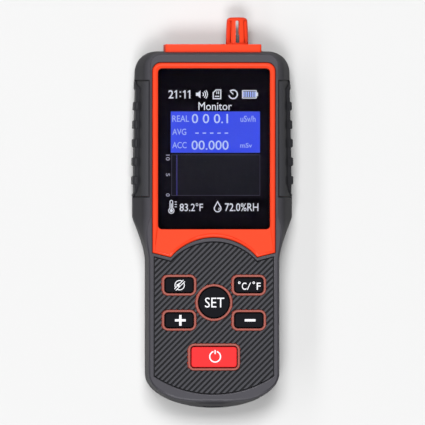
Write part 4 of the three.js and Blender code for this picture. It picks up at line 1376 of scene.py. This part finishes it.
# ---- CAD pieces that stay as they are ----

TUBE_FITTINGS = [f"tube_{part}_{end}" for part in ("cap", "clip") for end in ("lower", "upper")]
CAD_FINISHES = {
    "seal_rubber": ["case_seal"],
    "black_board": ["sensor_board"],
    "board": ["main_board"],
    "nickel": ["climate_sensor", "tube_anode", *TUBE_FITTINGS],
    "pressed_steel": ["lcd_frame", "tube_cathode", "usb_shell"],
    "black_plastic": ["lcd_bracket", "processor", "buzzer", "usb_tongue"],
    "ribbon": ["lcd_ribbon"],
    "silicone": ["key_membrane"],
    "winding": ["hv_transformer"],
    "tube_glass": ["tube_glass"],
    "cell_wrap": ["battery_cell"],
    "foam": ["battery_pad"],
    "lead": ["battery_lead"],
    "carbon": [f"key_pill_{name}" for name in KEYS],
    "screw_steel": [f"{place}_screw_{number}" for place in ("case", "board") for number in range(1, 5)],
}


def finish_cad_nodes():
    for finish, names in CAD_FINISHES.items():
        for name in names:
            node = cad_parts[name]
            node.data.materials.clear()
            node.data.materials.append(MATERIALS[finish])


# ---- Stage ----


def build_stage():
    mesh = bpy.data.meshes.new("floor")
    side = 3
    corners = [(-side, -side, 0), (side, -side, 0), (side, side, 0), (-side, side, 0)]
    mesh.from_pydata(corners, [], [(0, 1, 2, 3)])
    finish = surface("floor", (0.52, 0.52, 0.52, 1), 0.8, specular=0.1, bump=0, patch=0.01, patch_size=200)
    mesh.materials.append(finish)
    floor = bpy.data.objects.new("floor", mesh)
    bpy.context.scene.collection.objects.link(floor)

    world = bpy.data.worlds.new("studio")
    world.use_nodes = True
    background = world.node_tree.nodes["Background"]
    background.inputs["Color"].default_value = (0.95, 0.97, 1, 1)
    background.inputs["Strength"].default_value = 0.02
    bpy.context.scene.world = world

    add_light("key", (-0.07, 0.32, 1), (0.36, 0.3), 10.5)
    add_light("fill", (-0.07, -0.32, 1), (0.36, 0.3), 7.5)
    add_light("strip", (-0.72, 0, 1), (1.8, 0.2), 6)


LIGHT_HEIGHT = 10


def add_light(name, direction, size, power):
    """A soft box that faces the object. Its size and power are given for one metre of height."""
    data = bpy.data.lights.new(name, "AREA")
    data.shape = "RECTANGLE"
    data.size, data.size_y = (side * LIGHT_HEIGHT for side in size)
    data.energy = power * LIGHT_HEIGHT**2
    light = bpy.data.objects.new(name, data)
    light.location = Vector(direction) * LIGHT_HEIGHT
    light.rotation_euler = (-Vector(direction)).to_track_quat("-Z", "Y").to_euler()
    bpy.context.scene.collection.objects.link(light)


def build_camera():
    """Straight above the display and a little from the left, with a long lens."""
    distance = 8.0
    field = 0.20825
    lean = math.radians(3)
    target_z, field_z = 0.018, 0.03
    target = Vector((0, 0, target_z))
    data = bpy.data.cameras.new("camera")
    data.sensor_width = 36
    data.lens = data.sensor_width * (distance + target_z - field_z) / field
    camera = bpy.data.objects.new("camera", data)
    camera.location = target + Vector((-math.sin(lean), 0, math.cos(lean))) * distance
    camera.rotation_euler = (0, -lean, 0)
    bpy.context.scene.collection.objects.link(camera)
    bpy.context.scene.camera = camera
    bpy.context.scene.view_settings.view_transform = "Standard"


build_front_cover()
build_rear_cover()
build_shell()
build_bezel()
build_collars()
build_panel()
build_panel_flange()
for key_name, key_sizes in KEYS.items():
    build_key(key_name, key_sizes)
build_legends()
build_lens()
build_panel_glass()
build_panes()
build_doses()
build_status()
build_graph()
build_grip(-1, "left")
build_grip(1, "right")
build_top_cap()
build_cage()
finish_cad_nodes()
build_stage()
build_camera()
